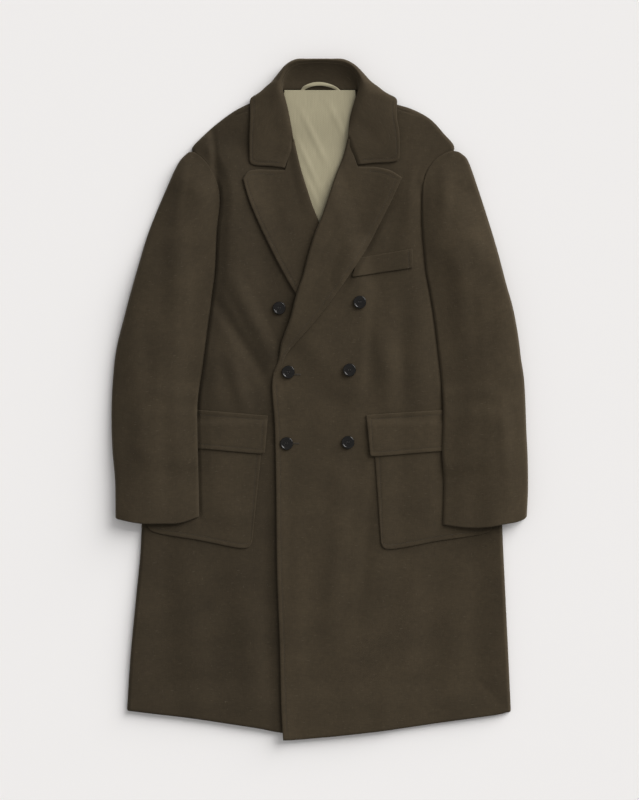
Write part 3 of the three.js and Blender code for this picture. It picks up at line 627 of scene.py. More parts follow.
BESIDE_RIGHT, BESIDE_LEFT = (6.8, 6.0), (2.4, 3.2)  # a lip and a chest beside each sleeve
SHOULDER_GROOVE = (0.7, 1.6)  # depth and width of a pressed shoulder seam
HEAD_GROOVE = (1.5, 1.8)  # and of the seam round the left sleeve's head
HEAD_ZONE_RIGHT = np.array([[-179, 368], [-180, 392], [-182, 412], [-185, 432], [-190, 455],
                            [-195, 478], [-215, 472], [-242, 445], [-240, 418], [-205, 384],
                            [-190, 366]], float)
HEAD_ZONE_LEFT = np.array([[181, 366], [176, 388], [184, 414], [203, 436], [226, 458],
                           [246, 450], [247, 424], [212, 396], [192, 366]], float)
SHOULDER_SEAM_RIGHT = np.array([[-116, 513], [-120.5, 510], [-137, 500.5], [-156, 495.6],
                                [-172, 488]], float)
SHOULDER_SEAM_LEFT = np.array([[128, 513], [132.7, 510], [147, 505], [180, 495.6],
                               [196, 487]], float)


def loft(xy):
    """Air between the back and the fronts, less of it at the hem."""
    return 0.5 + 1.2 * ease(-590, -430, xy[..., 1])


def lift(xy):
    """The back's rise over the part of the collar that is turned under it."""
    return 3.6 * ease(440, 505, xy[..., 1]) * (1 - ease(135, 195, np.abs(xy[..., 0])))


def beside_head(zone, sleeve, xy, height):
    """The padded shoulder: the rise over a zone beside a sleeve's head, gone again a little
    way under the sleeve."""
    spread = 1 - ease(-9, 9, apart(zone, xy))
    return height * spread * ease(-6.5, -0.5, apart(sleeve, xy))


def beside_sleeve(sleeve, xy, lip, chest):
    """The rise of the chest beside a sleeve: it starts at the sleeve's edge, is full 26 mm
    away, and has gone at 105 mm. A lip of the cloth stands up right against the sleeve."""
    away = apart(sleeve, xy)
    stands = lip * (0.45 + 0.55 * ease(-50, 30, xy[..., 1])) * ease(-235, -185, xy[..., 1])
    stands = stands * (1 - ease(345, 410, xy[..., 1]))
    height = WAIST_RISE + (chest - WAIST_RISE) * ease(120, 240, xy[..., 1])
    height = height * ease(-300, -120, xy[..., 1]) * (1 - ease(400, 470, xy[..., 1]))
    rise = height * ease(1, 26, away) + stands * ease(0.6, 6.5, away)
    return rise * (1 - ease(32, 105, away))


def sprung(xy):
    """The cloth that is folded over at a side springs up, and so does the hem."""
    inside = -apart(body_outline, xy)
    low = 1 - ease(230, 420, xy[..., 1])
    hem = 0.7 * (1 - ease(-592, -500, xy[..., 1]))
    return SIDE_SPRING * np.maximum(low * (1 - ease(4, 60, inside)), hem)


def front_right_base(xy):
    """Back, air, front and folds."""
    plain = LAYER + lift(xy) + loft(xy) + WALL + sprung(xy)
    relief = folded(FOLDS_RIGHT + TROUGHS, xy) + uneven(xy)
    return plain + relief + groove(SHOULDER_SEAM_RIGHT, xy, *SHOULDER_GROOVE)


def front_right_top(xy):
    """The right front with its shoulder and its rise beside the sleeve."""
    shoulder = beside_head(HEAD_ZONE_RIGHT, sleeve_right_outline, xy, HEAD_RISE_RIGHT)
    chest = beside_sleeve(sleeve_right_outline, xy, *BESIDE_RIGHT)
    return front_right_base(xy) + shoulder + chest


def front_left_base(xy):
    """Back, the right front and lapel where they reach, air, front and folds."""
    doubled = over(front_right_outline, xy) + over(lapel_right_outline, xy)
    plain = LAYER * (1 + doubled) + lift(xy) + loft(xy) + WALL + sprung(xy)
    relief = folded(FOLDS_LEFT + TROUGHS, xy) + uneven(xy)
    return plain + relief + groove(SHOULDER_SEAM_LEFT, xy, *SHOULDER_GROOVE)


def front_left_top(xy):
    """The left front with its shoulder, the groove round the sleeve's head and its rise."""
    shoulder = beside_head(HEAD_ZONE_LEFT, sleeve_left_outline, xy, HEAD_RISE_LEFT)
    seam = groove(SLEEVE_LEFT["head"](np.linspace(0, 0.85, 12)), xy, *HEAD_GROOVE)
    chest = beside_sleeve(sleeve_left_outline, xy, *BESIDE_LEFT)
    return front_left_base(xy) + shoulder + seam + chest


print("front height at the chest", np.round(front_left_top(np.array([[70.0, 170.0]])), 1), "mm")

# %% [markdown]
# ## Cloth as a thin closed shell
# Cloth has two faces and a rim, and on a wool coat the rim is soft and round. Each piece starts
# as a grid of points on its outer face. Moving them along the normals gives the inner face, and
# letting both faces close towards the middle near an edge rounds the rim. Some edges also have
# a line of stitches 8 mm in, which pulls the cloth down in a shallow groove.

# %% Mesh helpers
def lengths(grid, axis):
    """Distance along the rows or columns of a grid, from its first point."""
    step = np.linalg.norm(np.diff(grid, axis=axis), axis=-1)
    start = np.zeros_like(np.take(step, [0], axis=axis))
    return np.concatenate([start, np.cumsum(step, axis=axis)], axis=axis)


def edge_distances(grid):
    """Distance of each point from the grid's left, right, bottom and top edges."""
    along, up = lengths(grid, 1), lengths(grid, 0)
    return along, along[:, -1:] - along, up, up[-1:] - up


def normals(grid):
    """Unit normals: the cross product of the differences along rows and columns."""
    cross = np.cross(np.gradient(grid, axis=1), np.gradient(grid, axis=0))
    return cross / np.maximum(np.linalg.norm(cross, axis=-1, keepdims=True), 1e-9)


def add_mesh(name, vertices, faces, material, cloth_map=None):
    """A mesh from vertices in mm and arrays of faces, one for each number of corners, with its
    cloth map where it has one."""
    corners = np.concatenate([group.ravel() for group in faces]).astype(np.int32)
    sizes = np.concatenate([np.full(len(group), group.shape[1]) for group in faces])
    mesh = bpy.data.meshes.new(name)
    mesh.vertices.add(len(vertices))
    mesh.vertices.foreach_set("co", (vertices * MM).astype(np.float32).ravel())
    mesh.loops.add(len(corners))
    mesh.loops.foreach_set("vertex_index", corners)
    mesh.polygons.add(len(sizes))
    mesh.polygons.foreach_set("loop_start", (np.cumsum(sizes) - sizes).astype(np.int32))
    mesh.polygons.foreach_set("use_smooth", np.ones(len(sizes), bool))
    if cloth_map is not None:
        layer = mesh.uv_layers.new(name="cloth")
        layer.data.foreach_set("uv", (cloth_map[corners] * MM).astype(np.float32).ravel())
    mesh.update(calc_edges=True)
    mesh.validate()
    mesh.materials.append(material)
    return placed(name, mesh)


def quads(rows, count, wrap=False):
    """Faces of a grid of rows and columns, whose normal is along a row cross up a column."""
    j = np.arange(count if wrap else count - 1)
    i = np.arange(rows - 1)[:, None]
    k = (j + 1) % count
    return np.stack([i * count + j, i * count + k, (i + 1) * count + k, (i + 1) * count + j],
                    axis=-1).reshape(-1, 4)


def shell_faces(rows, count):
    """Faces of two grids, one over the other, and of the rim that joins them."""
    outer = quads(rows, count)
    inner = rows * count + outer[:, ::-1]
    at = np.arange(rows * count).reshape(rows, count)
    ring = np.concatenate([at[0], at[1:, -1], at[-1, -2::-1], at[-2:0:-1, 0]])
    after = np.roll(ring, -1)
    rim = np.stack([ring, ring + rows * count, after + rows * count, after], axis=-1)
    return np.concatenate([outer, inner, rim])


def rounding(distance, radius, least=0.3):
    """Half-round section of a rim: a quarter circle from the least share to 1."""
    start = 1 - math.sqrt(1 - least ** 2)
    share = np.minimum(1, start + np.maximum(0, distance) / radius * (1 - start))
    return np.sqrt(1 - (1 - share) ** 2)


PIECES = {}


def cloth_piece(name, outer, thickness, material, soft=(1, 1, 1, 1), turn=False, grain=0.0,
                floor=True, cloth_map=None):
    """A closed shell under an outer grid in mm. soft says how far the rims of the left, right,
    bottom and top edges are rounded, from 0 to 1, turn that the rows run towards -X, and grain
    the angle in degrees between the cloth's length and Y."""
    if cloth_map is None:
        angle = math.radians(grain)
        x, y = outer[..., 0], outer[..., 1]
        cloth_map = np.stack([x * math.cos(angle) + y * math.sin(angle),
                              y * math.cos(angle) - x * math.sin(angle)], axis=-1)
    if turn:
        outer, cloth_map = outer[:, ::-1], cloth_map[:, ::-1]
        soft = (soft[1], soft[0], soft[2], soft[3])
    square = normals(outer)
    roundness = np.ones(outer.shape[:2])
    for distance, share in zip(edge_distances(outer), soft):
        roundness = roundness * (1 - share * (1 - rounding(distance, 0.75 * thickness)))
    middle = outer - square * thickness / 2
    half = square * (thickness / 2 * roundness)[..., None]
    faces = (middle + half, middle - half)
    if floor:
        for face in faces:
            face[..., 2] = np.maximum(0, face[..., 2])
    rows, count = outer.shape[:2]
    vertices = np.concatenate([face.reshape(-1, 3) for face in faces])
    both = np.concatenate([cloth_map.reshape(-1, 2)] * 2)
    made = add_mesh(name, vertices, [shell_faces(rows, count)], material, both)
    PIECES[name] = made
    print(name, rows, "x", count, "points")
    return made


def raised(plan, height):
    """A plan (rows, columns, 2) with its height as the third coordinate."""
    return np.concatenate([plan, np.asarray(height)[..., None]], axis=-1)


def stitch_dip(*distances, inset=8.0, depth=0.3, width=1.7):
    """The groove along a line of stitches: minus the depth times a bell curve about the inset,
    for the nearest of the given edges, with the strip outside it puffed up a little."""
    near = np.minimum.reduce(distances)
    puff = 0.1 * np.sin(np.pi * np.clip(near / inset, 0, 1)) ** 2
    return puff - depth * np.exp(-((near - inset) / width) ** 2)


# %% [markdown]
# ## Body
# The back lies at the bottom. Each front is a patch from its side seam to its centre edge, and
# its side and shoulder curl down to the floor in a quarter of an ellipse, as cloth does over a
# seam. Above the break the front is cut back, because there it rolls over into the lapel.

# %% Back
BODY_ROWS = np.unique(np.concatenate([
    np.linspace(0, 0.012, 6), np.linspace(0.012, 0.5, 146), np.linspace(0.5, 0.58, 28),
    np.linspace(0.58, 0.8, 70), np.linspace(0.8, 1, 52)]))
CURL_WIDTH = 7.0
SIDE_STEPS = [0, 1.5, 3.2, 5, 7, 9, 11.5, 14.5, 18]
CREASE_STEPS = [-5, -2.5, -1, 0, 0.7, 1.4, 2.1, 2.8, 3.6, 4.6, 6, 8, 11]
ROLL_RADIUS = 3.8
EDGE_STANDS = 2.4  # how far a front's free edge stands up


def shifted(curve, distance):
    """A curve moved sideways."""
    return lambda v: curve(v) + across(curve, v) * distance


def meeting(side, corner):
    """A curve whose start is moved onto a corner, with the shift dying away quickly."""
    shift = np.ravel(corner - side(np.zeros(1)))
    return lambda v: side(v) + shift * ((1 - np.atleast_1d(v)) ** 12)[:, None]


def make_back():
    """A patch between the two sides, lying on the floor."""
    left, right = shifted(side_right, 4), shifted(side_left, -4)
    one = np.ones(1)
    neck = through(left(one)[0], [-62, 541], [0, 541.2], [62, 541], right(one)[0])
    vs = BODY_ROWS[::2]
    us = columns([660], PLAIN_STEPS, PLAIN_STEPS, 80)[0]
    plan = patch(meeting(left, hem_back(np.zeros(1))), meeting(right, hem_back(one)), hem_back,
                 neck, us, vs)
    return cloth_piece("back_cloth", raised(plan, lift(plan) + WALL), WALL, wool)


make_back()


# %% Fronts
def beside_columns(widths, crossing, count):
    """Shares of each row's width, as columns gives them, with close steps about the place
    where the row comes out from under the sleeve."""
    width = widths[:, None]
    low = np.minimum(1, 0.2 * width / SIDE_STEPS[-1]) * np.array(SIDE_STEPS) / width
    high = 1 - np.minimum(1, 0.3 * width / EDGE_STEPS[-1]) * np.array(EDGE_STEPS) / width
    about = np.clip(crossing[:, None], low[:, -1:] + 12 / width, high[:, -1:] - 20 / width)
    about = about + np.array(CREASE_STEPS) / width
    shares = np.linspace(0, 1, count + 2)[1:-1]
    hidden = low[:, -1:] + shares[::3] * (about[:, :1] - low[:, -1:])
    seen = about[:, -1:] + shares * (high[:, -1:] - about[:, -1:])
    return np.hstack([low, np.sort(hidden, axis=1), about, seen, high[:, ::-1]])


def crossings(plan, us, sleeve):
    """For each row of a plan the share where it leaves the sleeve, smoothed over the rows."""
    under = apart(sleeve, plan) < 0
    last = np.where(under.any(1), us[under.shape[1] - 1 - under[:, ::-1].argmax(1)], np.nan)
    known = np.flatnonzero(~np.isnan(last))
    filled = np.interp(np.arange(len(last)), known, last[known])
    padded = np.pad(filled, 4, mode="edge")
    return np.convolve(padded, np.ones(9) / 9, mode="valid")


def make_front(name, side, centre, hem, top, sign, sleeve, cloth):
    """A patch from the side to the centre edge, with the side curled down to the floor."""
    vs = BODY_ROWS

    def inward(v):
        return across(side, np.clip(v, 0.003, 0.997)) * sign

    def turned(v):
        return side(v) + inward(v) * CURL_WIDTH

    def cut(v):
        start, end = CENTRE_BREAKS
        v = np.atleast_1d(v)
        rolled = (ROLL_RADIUS + 1.1) * ease(start, start + 0.02, v) * (v <= end)
        middle = np.clip(v, start + 0.005, end - 0.005)
        square = np.where(((v < start) | (v > end))[:, None], 0, across(centre, middle))
        return centre(v) - sign * square * rolled[:, None]

    shift = (turned(np.zeros(1)) - hem(np.zeros(1)))[0]

    def low_edge(u):
        return hem(u) + shift * (1 - np.asarray(u))[..., None]

    high_edge = straight(turned(np.ones(1)), cut(np.ones(1)))
    widths = np.linalg.norm(turned(vs) - cut(vs), axis=1)
    probe = np.linspace(0, 1, 161)
    leaves = crossings(patch(turned, cut, low_edge, high_edge, probe, vs), probe, sleeve)
    us = beside_columns(widths, leaves, 48)
    plan = patch(turned, cut, low_edge, high_edge, us, vs)
    edge_zone = 1 - ease(0.47, 0.5, vs)[:, None]
    flat = raised(plan, top(plan))
    dips = edge_distances(flat)
    stands = EDGE_STANDS * (1 - ease(0, 26, dips[1]))
    flat[..., 2] += edge_zone * (stitch_dip(dips[1], depth=0.25) + stands)
    low, inside = side(vs), inward(vs)
    floor_level = lift(low)
    angles = np.linspace(0, np.pi / 2, 10)[:-1]
    curl = low[:, None] + inside[:, None] * (CURL_WIDTH * (1 - np.cos(angles)))[:, None]
    height = top(turned(vs)) - floor_level
    curl = raised(curl, floor_level[:, None] + height[:, None] * np.sin(angles) ** 0.85)
    outer = np.concatenate([curl, flat], axis=1)
    cloth_piece(name, outer, WALL, cloth, soft=(0, 1, 1, 0), turn=sign < 0)
    return flat[vs < 0.485]


make_front("front_right_cloth", side_right, path([front_edge_right, roll_right, neck_right],
                                                 CENTRE_BREAKS), hem_right, front_right_top, 1,
           sleeve_right_outline, wool_painted_shade)
front_left_skirt = make_front(
    "front_left_cloth", side_left, path([front_edge_left, roll_left, neck_left], CENTRE_BREAKS),
    hem_left, front_left_top, -1, sleeve_left_outline, wool_painted_light)

# %% [markdown]
# ## Lapels
# A lapel is the front's own cloth, rolled back at the roll line. It comes up from the cut edge
# in half a circle and lies flat out to its free edge. At the break the half circle shrinks to
# nothing, so the roll grows out of the front's edge as it does on a real coat.

# %% Lapels
def make_lapel(name, roll, edge, end, base, roll_height, springs, sign, grain, cloth):
    """Rows of a half circle about the roll line, then a patch out to the free edge, which
    springs up from the front."""
    first, last = CENTRE_BREAKS
    vs = np.concatenate([np.linspace(0, 0.06, 12), np.linspace(0.06, 0.97, 100)[1:],
                         np.linspace(0.97, 1, 8)[1:]])
    grown = ease(0, 0.09, vs)
    radius = WALL / 2 + (ROLL_RADIUS - WALL / 2) * grown
    line, outward = roll(vs), across(roll, vs) * sign

    def crest(v):
        v = np.atleast_1d(v)
        return roll(v) + across(roll, v) * sign * ROLL_RADIUS

    shift = (crest(np.ones(1)) - end(np.zeros(1)))[0]

    def finish(u):
        return end(u) + shift * ((1 - np.asarray(u)) ** 6)[..., None]

    start = straight(crest(np.zeros(1)), edge(np.zeros(1)))
    widths = np.linalg.norm(crest(vs) - edge(vs), axis=1)
    us = columns(widths, [0, 1.5, 3, 5, 7.5, 10.5, 14], EDGE_STEPS, 34)
    plan = patch(crest, edge, start, finish, us, vs)
    raise_to = roll_height(line[:, 1])
    below = base(line)
    half_height = WALL / 2 + ((GAP + WALL + raise_to) / 2) * grown
    angles = np.linspace(0, np.pi, 13)[:-1]
    curl = line[:, None] + outward[:, None] * (
        radius[:, None] * (1 - np.sin(angles)))[..., None]
    curl = raised(curl, (below - WALL)[:, None] + half_height[:, None] * (1 - np.cos(angles)))
    run = np.linalg.norm(plan - line[:, None], axis=-1) - ROLL_RADIUS
    settle = (grown * (GAP + WALL))[:, None]
    flat = raised(plan, base(plan) + settle
                  + (grown * raise_to)[:, None] * (1 - ease(0, 34, run)) + 0.05)
    distances = edge_distances(flat)
    top_edge = ease(0.40, 0.47, us)
    to_top = distances[3] + 40 * (1 - top_edge)
    flat[..., 2] += ease(0.02, 0.08, vs)[:, None] * stitch_dip(distances[1], to_top)
    flat[..., 2] += springs * ease(0.1, 0.4, vs)[:, None] * (1 - ease(0, 46, distances[1]))
    outer = np.concatenate([curl, flat], axis=1)
    share = np.concatenate([np.zeros((len(vs), len(angles))), top_edge], axis=1)
    share = share[:, ::-1] if sign < 0 else share
    cloth_piece(name, outer, WALL, cloth, soft=(0, 1, 1, share), turn=sign < 0, grain=grain)
    return flat


def on_front_left(xy):
    """What the left lapel lies on: the left front, and the breast welt where it reaches."""
    return front_left_top(xy) + 1.5 * GAP + (POCKET_LAYER + 2 * GAP) * over(WELT, xy, 16, 24)


lapel_right_face = make_lapel("lapel_right_cloth", roll_right, lapel_edge_right,
                              lapel_end_right, front_right_top,
                              lambda y: 2 * ease(310, 380, y), 1.6, -1, 14, wool)
lapel_left_face = make_lapel("lapel_left_cloth", roll_left, lapel_edge_left, lapel_end_left,
                             on_front_left, lambda y: 2 * np.ones_like(y), 3.6, 1, -14,
                             wool_painted_light)

# %% [markdown]
# ## Collar
# Sections run from the neck seam up the inside of the stand, over the roll and down the fall to
# its free edge. Half of them are measured, the other half are their mirror image with a small
# difference, and splines along and across the sections make one smooth surface. The stand and
# the fall are cut from it at the roll.

# %% Collar sections
FALL = [
    [[-46, 456, 8.6], [-49.5, 455.5, 13.2], [-54, 438, 12], [-58.5, 420, 11.2], [-62, 405.5, 10.8]],
    [[-48, 469, 9.6], [-52, 468, 14], [-66, 445, 12.8], [-78, 425, 11.4], [-87, 408.5, 10.8]],
    [[-50, 480, 10.6], [-54.5, 479, 15], [-75, 455, 13.4], [-96, 430, 12.8], [-113, 409.8, 12.3]],
    [[-52, 491, 11.6], [-57, 490, 16], [-80, 466, 14.4], [-104, 437, 13.8], [-121.5, 413.5, 12.9]],
    [[-54, 501, 12.6], [-59.5, 500, 17.2], [-83, 479, 16.1], [-106.5, 453, 14.8], [-123, 432, 13.6]],
    [[-56.5, 512, 13.6], [-62.5, 511, 18.6], [-86, 493, 17.5], [-107, 477, 16.0], [-123, 465, 14.8]],
    [[-59, 522, 14.6], [-66, 521, 20], [-89, 507, 18.5], [-108, 497, 16.8], [-122, 489, 15.6]],
    [[-61.5, 531, 15.6], [-69, 530, 21.5], [-91, 521, 19], [-109, 513, 16.5], [-122, 508, 14.6]],
    [[-64, 540, 16.6], [-72, 540, 23], [-93, 536, 19.5], [-110, 531, 15.5], [-122, 526, 11]],
    [[-65.5, 550, 17], [-73, 551, 23], [-89, 549.5, 16], [-103, 540, 7.5], [-113, 531.5, 0]],
    [[-65, 558, 17], [-70, 560, 21.5], [-82, 557.5, 13], [-90, 549, 2.5], [-93, 521, 0]],
    [[-61, 568, 17.5], [-65, 571, 21.5], [-71, 573, 12], [-74, 562, 1.2], [-72, 524, 0]],
    [[-53, 579, 17.5], [-56, 583, 21], [-59.5, 586, 11], [-60, 575, 0.8], [-55, 525, 0]],
    [[-39, 586, 17], [-41, 591, 20], [-42, 595.4, 11], [-42, 584, 0.6], [-38, 526, 0]],
    [[-20, 588.5, 16.5], [-21, 593, 19], [-21, 596, 10], [-21, 585, 0.5], [-19, 526, 0]],
    [[0, 589.5, 16.5], [0, 593.5, 19], [0, 596, 10], [0, 585, 0.5], [0, 526, 0]],
]
NECK_SEAM = [
    [-49.5, 458, 5.8], [-51.5, 470, 6.6], [-54, 481, 7.2], [-56.5, 491, 7.8], [-59, 500, 8.4],
    [-62, 510, 9.1], [-65, 520, 9.4], [-67.5, 529, 9.2], [-67, 536, 7.6], [-65, 540.5, 6.4],
    [-60, 542.4, 6.3], [-52, 542.4, 6.2], [-42, 542.4, 6.2], [-30, 542.4, 6.2],
    [-15, 542.4, 6.2], [0, 542.4, 6.2],
]
COLLAR_ROLL = 0.2  # the share of a section where the stand ends
STAND_SAG = 5.2  # the hollow of the stand at the back of the neck
GORGE_STEP = 0.25  # how far the collar's end stands over the lapel where they are sewn


def mirrored(points):
    """The wearer's left half: it reaches a little further and its front end sits higher."""
    x, y, z = np.moveaxis(points, -1, 0)
    front = 1 - ease(450, 500, y)
    wide = -x + 0.18 * np.maximum(0, -x - 50) + 3.5 * front
    return np.stack([wide, y + 5.5 * front, z], axis=-1)


def collar_grid(shares, count):
    """Points (count, shares, 3): a spline along each section, then one across them all."""
    right = np.concatenate([np.array(NECK_SEAM)[:, None], np.array(FALL)], axis=1)
    sections = np.concatenate([right, mirrored(right[:-1])[::-1]])
    along = np.stack([spline(section, shares) for section in sections])
    grid = spline(along, np.linspace(0, 1, count))
    grid[..., 2] = np.maximum(0, grid[..., 2])
    return grid


def settle_on(fall, lapel, end):
    """Brings the collar's gorge end level with the lapel that it is sewn to: each point's gap
    to the nearest point of the lapel, fading over the next rows."""
    points = lapel.reshape(-1, 3)
    edge = fall[end]
    near = ((edge[:, None, :2] - points[None, :, :2]) ** 2).sum(-1)
    closest = near.argmin(1)
    gap = np.where(near.min(1) < 16, points[closest, 2] + GORGE_STEP - edge[:, 2], 0)
    rows = np.arange(len(fall)) if end == 0 else np.arange(len(fall))[::-1]
    fall[..., 2] += (1 - ease(0, 14, rows))[:, None] * gap


def make_collar():
    """The fall from its free edge to the roll, and the stand from the roll to the seam."""
    fall_steps = np.concatenate([
        1 - np.array(EDGE_STEPS) / 125, np.linspace(0.87, COLLAR_ROLL + 0.02, 34),
        [COLLAR_ROLL + 0.012, COLLAR_ROLL + 0.005, COLLAR_ROLL]])
    fall = collar_grid(fall_steps, 150)
    fall = fall + normals(fall) * stitch_dip(edge_distances(fall)[0])[..., None]
    reach = 1.2 + 3.4 * (1 - ease(0.55, 1, fall_steps))[:, None]
    for end, beside, more in ((0, 1, 1.0), (-1, -2, 1.25)):
        onward = fall[end] - fall[beside]
        fall[end] += more * reach * onward / np.linalg.norm(onward, axis=1, keepdims=True)
    settle_on(fall, lapel_right_face, 0)
    settle_on(fall, lapel_left_face, -1)
    seam_share = np.linspace(COLLAR_ROLL, 0, 16)
    stand = collar_grid(seam_share, 150)
    sag = STAND_SAG * np.sin(np.pi * seam_share / COLLAR_ROLL) * ease(535, 560, stand[..., 1])
    stand[..., 2] -= sag
    across_fall = lengths(fall, 1)
    along_fall = lengths(fall, 0)[:, 25:26]
    fall_map = np.stack([np.broadcast_to(along_fall, across_fall.shape), across_fall], axis=-1)
    stand_map = np.stack([lengths(stand, 0), lengths(stand, 1)], axis=-1)
    cloth_piece("collar_fall_cloth", fall, WALL, wool_painted_light, soft=(1, 1, 0, 0.3),
                cloth_map=fall_map)
    cloth_piece("collar_stand_cloth", stand, STAND_WALL, wool, soft=(0, 0, 0, 0),
                cloth_map=stand_map)
    return fall


collar_face = make_collar()

# %% [markdown]
# ## Sleeves
# A sleeve is a flattened tube. Its top half is one wall that rises in a rounded edge from the
# floor on the outside and from the coat's body on the inside, with a low crown between. The
# under half lies flat beneath it.

# %% Sleeve outlines
SLEEVE_EDGE = 6.0
SLEEVE_SIDE = 8.6  # height of the outer fold
SLEEVE_TUCK = 3.6  # height of the inner fold, which sinks beside the chest
SLEEVE_CROWN = 3.6
SLEEVE_FOLDS_RIGHT = [
    [-233, 440, -254, 292, 15, 2.4],
    [-250, 400, -247, -110, 30, 3.2],
    [-318, 230, -340, 20, 22, 1.5],
    [-292, 150, -306, -90, 20, -1.0],
    [-252, 30, -246, -214, 26, 2.0],
    [-226, 250, -232, 90, 14, 1.3],
]
SLEEVE_FOLDS_LEFT = [
    [222, 420, 214, 280, 20, 2.6],
    [232, 330, 262, 20, 28, 3.2],
    [300, 300, 332, 70, 22, 1.3],
    [292, 190, 306, -40, 20, -1.0],
    [262, 60, 252, -220, 28, 2.2],
    [322, 40, 326, -190, 20, 1.2],
]


def sleeve_bed(front_base, pocket, flap):
    """What a sleeve lies on: the body with its pocket and flap, and past its edge the floor."""

    def bed(xy):
        raised_by = POCKET_LAYER * (over(pocket, xy, 22, 28) + over(flap, xy, 22, 28))
        return over(body_outline, xy, 26, 72) * (front_base(xy) + 2.5 * GAP + raised_by)

    return bed


def edge_round(run):
    """The quarter circle of a sleeve's edge, from 0 to 1 over the edge's width."""
    return np.sqrt(1 - (1 - np.clip(run / SLEEVE_EDGE, 0, 1)) ** 2)


def make_sleeve(side, curves, bed, folds, turn, cloth):
    """The top half and the under half of one sleeve."""
    outer, inner, cuff, head = (curves[k] for k in ("outer", "inner", "cuff", "head"))
    vs = np.concatenate([np.linspace(0, 0.008, 6), np.linspace(0.008, 0.985, 138)[1:],
                         np.linspace(0.985, 1, 6)[1:]])
    widths = np.linalg.norm(outer(vs) - inner(vs), axis=1)
    steps = SLEEVE_EDGE * (1 - np.cos(np.linspace(0, np.pi / 2, 9)))
    us = columns(widths, steps, steps, 34)
    plan = patch(outer, inner, cuff, head, us, vs)
    width = widths[:, None]
    crown = SLEEVE_CROWN * (1 - (2 * us - 1) ** 2)
    side_height = SLEEVE_SIDE + (SLEEVE_TUCK - SLEEVE_SIDE) * ease(0.35, 1, us)
    full = (side_height + crown - WALL - 0.5) * (1 - ease(0.9, 1, vs))[:, None]
    middle = np.sin(np.pi * us) ** 0.5
    relief = (folded(folds, plan) + uneven(plan, 0.15)) * middle
    low = bed(plan) + (WALL + 0.5 + full + relief) * edge_round((1 - us) * width)
    top = raised(plan, low * edge_round(us * width))
    run = us * width
    sleeve_map = np.stack([run - width / 2, lengths(plan, 0)], axis=-1)
    cloth_piece(f"sleeve_top_{side}_cloth", top, WALL, cloth, soft=(0, 0, 1, 1), turn=turn,
                cloth_map=sleeve_map)
    under_us = 0.06 + 0.88 * np.linspace(0, 1, 24)
    under = patch(outer, inner, cuff, head, under_us, 0.004 + 0.88 * np.linspace(0, 1, 80))
    cloth_piece(f"sleeve_under_{side}_cloth", raised(under, bed(under) + WALL), WALL, wool,
                turn=turn, grain=-12 if turn else 12)


make_sleeve("right", SLEEVE_RIGHT, sleeve_bed(front_right_base, POCKET_RIGHT, FLAP_RIGHT),
            SLEEVE_FOLDS_RIGHT, False, wool)
make_sleeve("left", SLEEVE_LEFT, sleeve_bed(front_left_base, POCKET_LEFT, FLAP_LEFT),
            SLEEVE_FOLDS_LEFT, True, wool_painted_brightest)

# %% [markdown]
# ## Pockets, flaps and welt
# Each is a four-sided piece of cloth laid on its front, with its lower corners rounded and a
# line of stitches 8 mm inside its edges.

# %% Laid-on pieces
def four_sided(corners, lower_left, lower_right, count, rows):
    """Points between four corners, from the lower left anticlockwise, with the two lower
    corners rounded by the given radii."""
    a, b, c, d = (np.asarray(p, float) for p in corners)
    along = (b - a) / np.linalg.norm(b - a)
    up_left, up_right = (d - a) / np.linalg.norm(d - a), (c - b) / np.linalg.norm(c - b)
    start, stop = a + up_left * lower_left, b + up_right * lower_right
    bottom = through(start, a + (up_left + along) * 0.3 * lower_left, a + along * lower_left,
                     (a + b) / 2, b - along * lower_right,
                     b + (up_right - along) * 0.3 * lower_right, stop)
    width = np.linalg.norm(stop - start)

    def top(u):
        share = np.linalg.norm(bottom(u) - start, axis=-1) / width
        return d + share[..., None] * (c - d)

    us = columns([width], EDGE_STEPS, EDGE_STEPS, count)[0]
    vs = columns([np.linalg.norm(d - a)], EDGE_STEPS, EDGE_STEPS, rows)[0]
    return patch(straight(start, d), straight(stop, c), bottom, top, us, vs)


def make_laid(name, corners, radii, count, rows, bed, stitched, grain, cloth):
    """A piece on its bed: stitched names the edges, of left, right, bottom and top, that have
    a line of stitches."""
    plan = four_sided(corners, *radii, count, rows)
    outer = raised(plan, bed(plan) + POCKET_WALL)
    distances = edge_distances(outer)
    near = [distances[k] for k in stitched] + [np.full(outer.shape[:2], 60.0)]
    outer[..., 2] += stitch_dip(*near)
    cloth_piece(name, outer, POCKET_WALL, cloth, grain=grain)
    return outer


def laid_on(top, gap=GAP):
    """A bed just above a surface."""
    return lambda xy: top(xy) + gap


def flap_bed(top, pocket):
    """A flap's bed: the front, and the pocket beneath it."""
    return lambda xy: top(xy) + 2 * GAP + POCKET_LAYER * over(pocket, xy, 6, 14)


LEFT, RIGHT, BOTTOM, TOP = range(4)
pocket_right_face = make_laid("pocket_right_cloth", POCKET_RIGHT, (14, 14), 84, 42,
                              laid_on(front_right_top), (RIGHT, BOTTOM), 5, wool)
pocket_left_face = make_laid("pocket_left_cloth", POCKET_LEFT, (14, 14), 84, 42,
                             laid_on(front_left_top), (LEFT, BOTTOM), -5, wool_painted_light)
flap_right_face = make_laid("flap_right_cloth", FLAP_RIGHT, (4, 4), 84, 12,
                            flap_bed(front_right_top, POCKET_RIGHT), (RIGHT, BOTTOM, TOP), -5,
                            wool)
flap_left_face = make_laid("flap_left_cloth", FLAP_LEFT, (4, 4), 84, 12,
                           flap_bed(front_left_top, POCKET_LEFT), (LEFT, BOTTOM, TOP), 4,
                           wool_painted_brightest)
welt_face = make_laid("breast_welt_cloth", WELT, (2, 2), 18, 4,
                      laid_on(front_left_top, 2 * GAP), (RIGHT,), 8, wool_painted_light)

# %% [markdown]
# ## Lining and hanger loop
# The lining shows only in the opening of the neck. It hangs loosely between its seams, so it has
# soft diagonal creases. The loop is a narrow band of the same cloth.

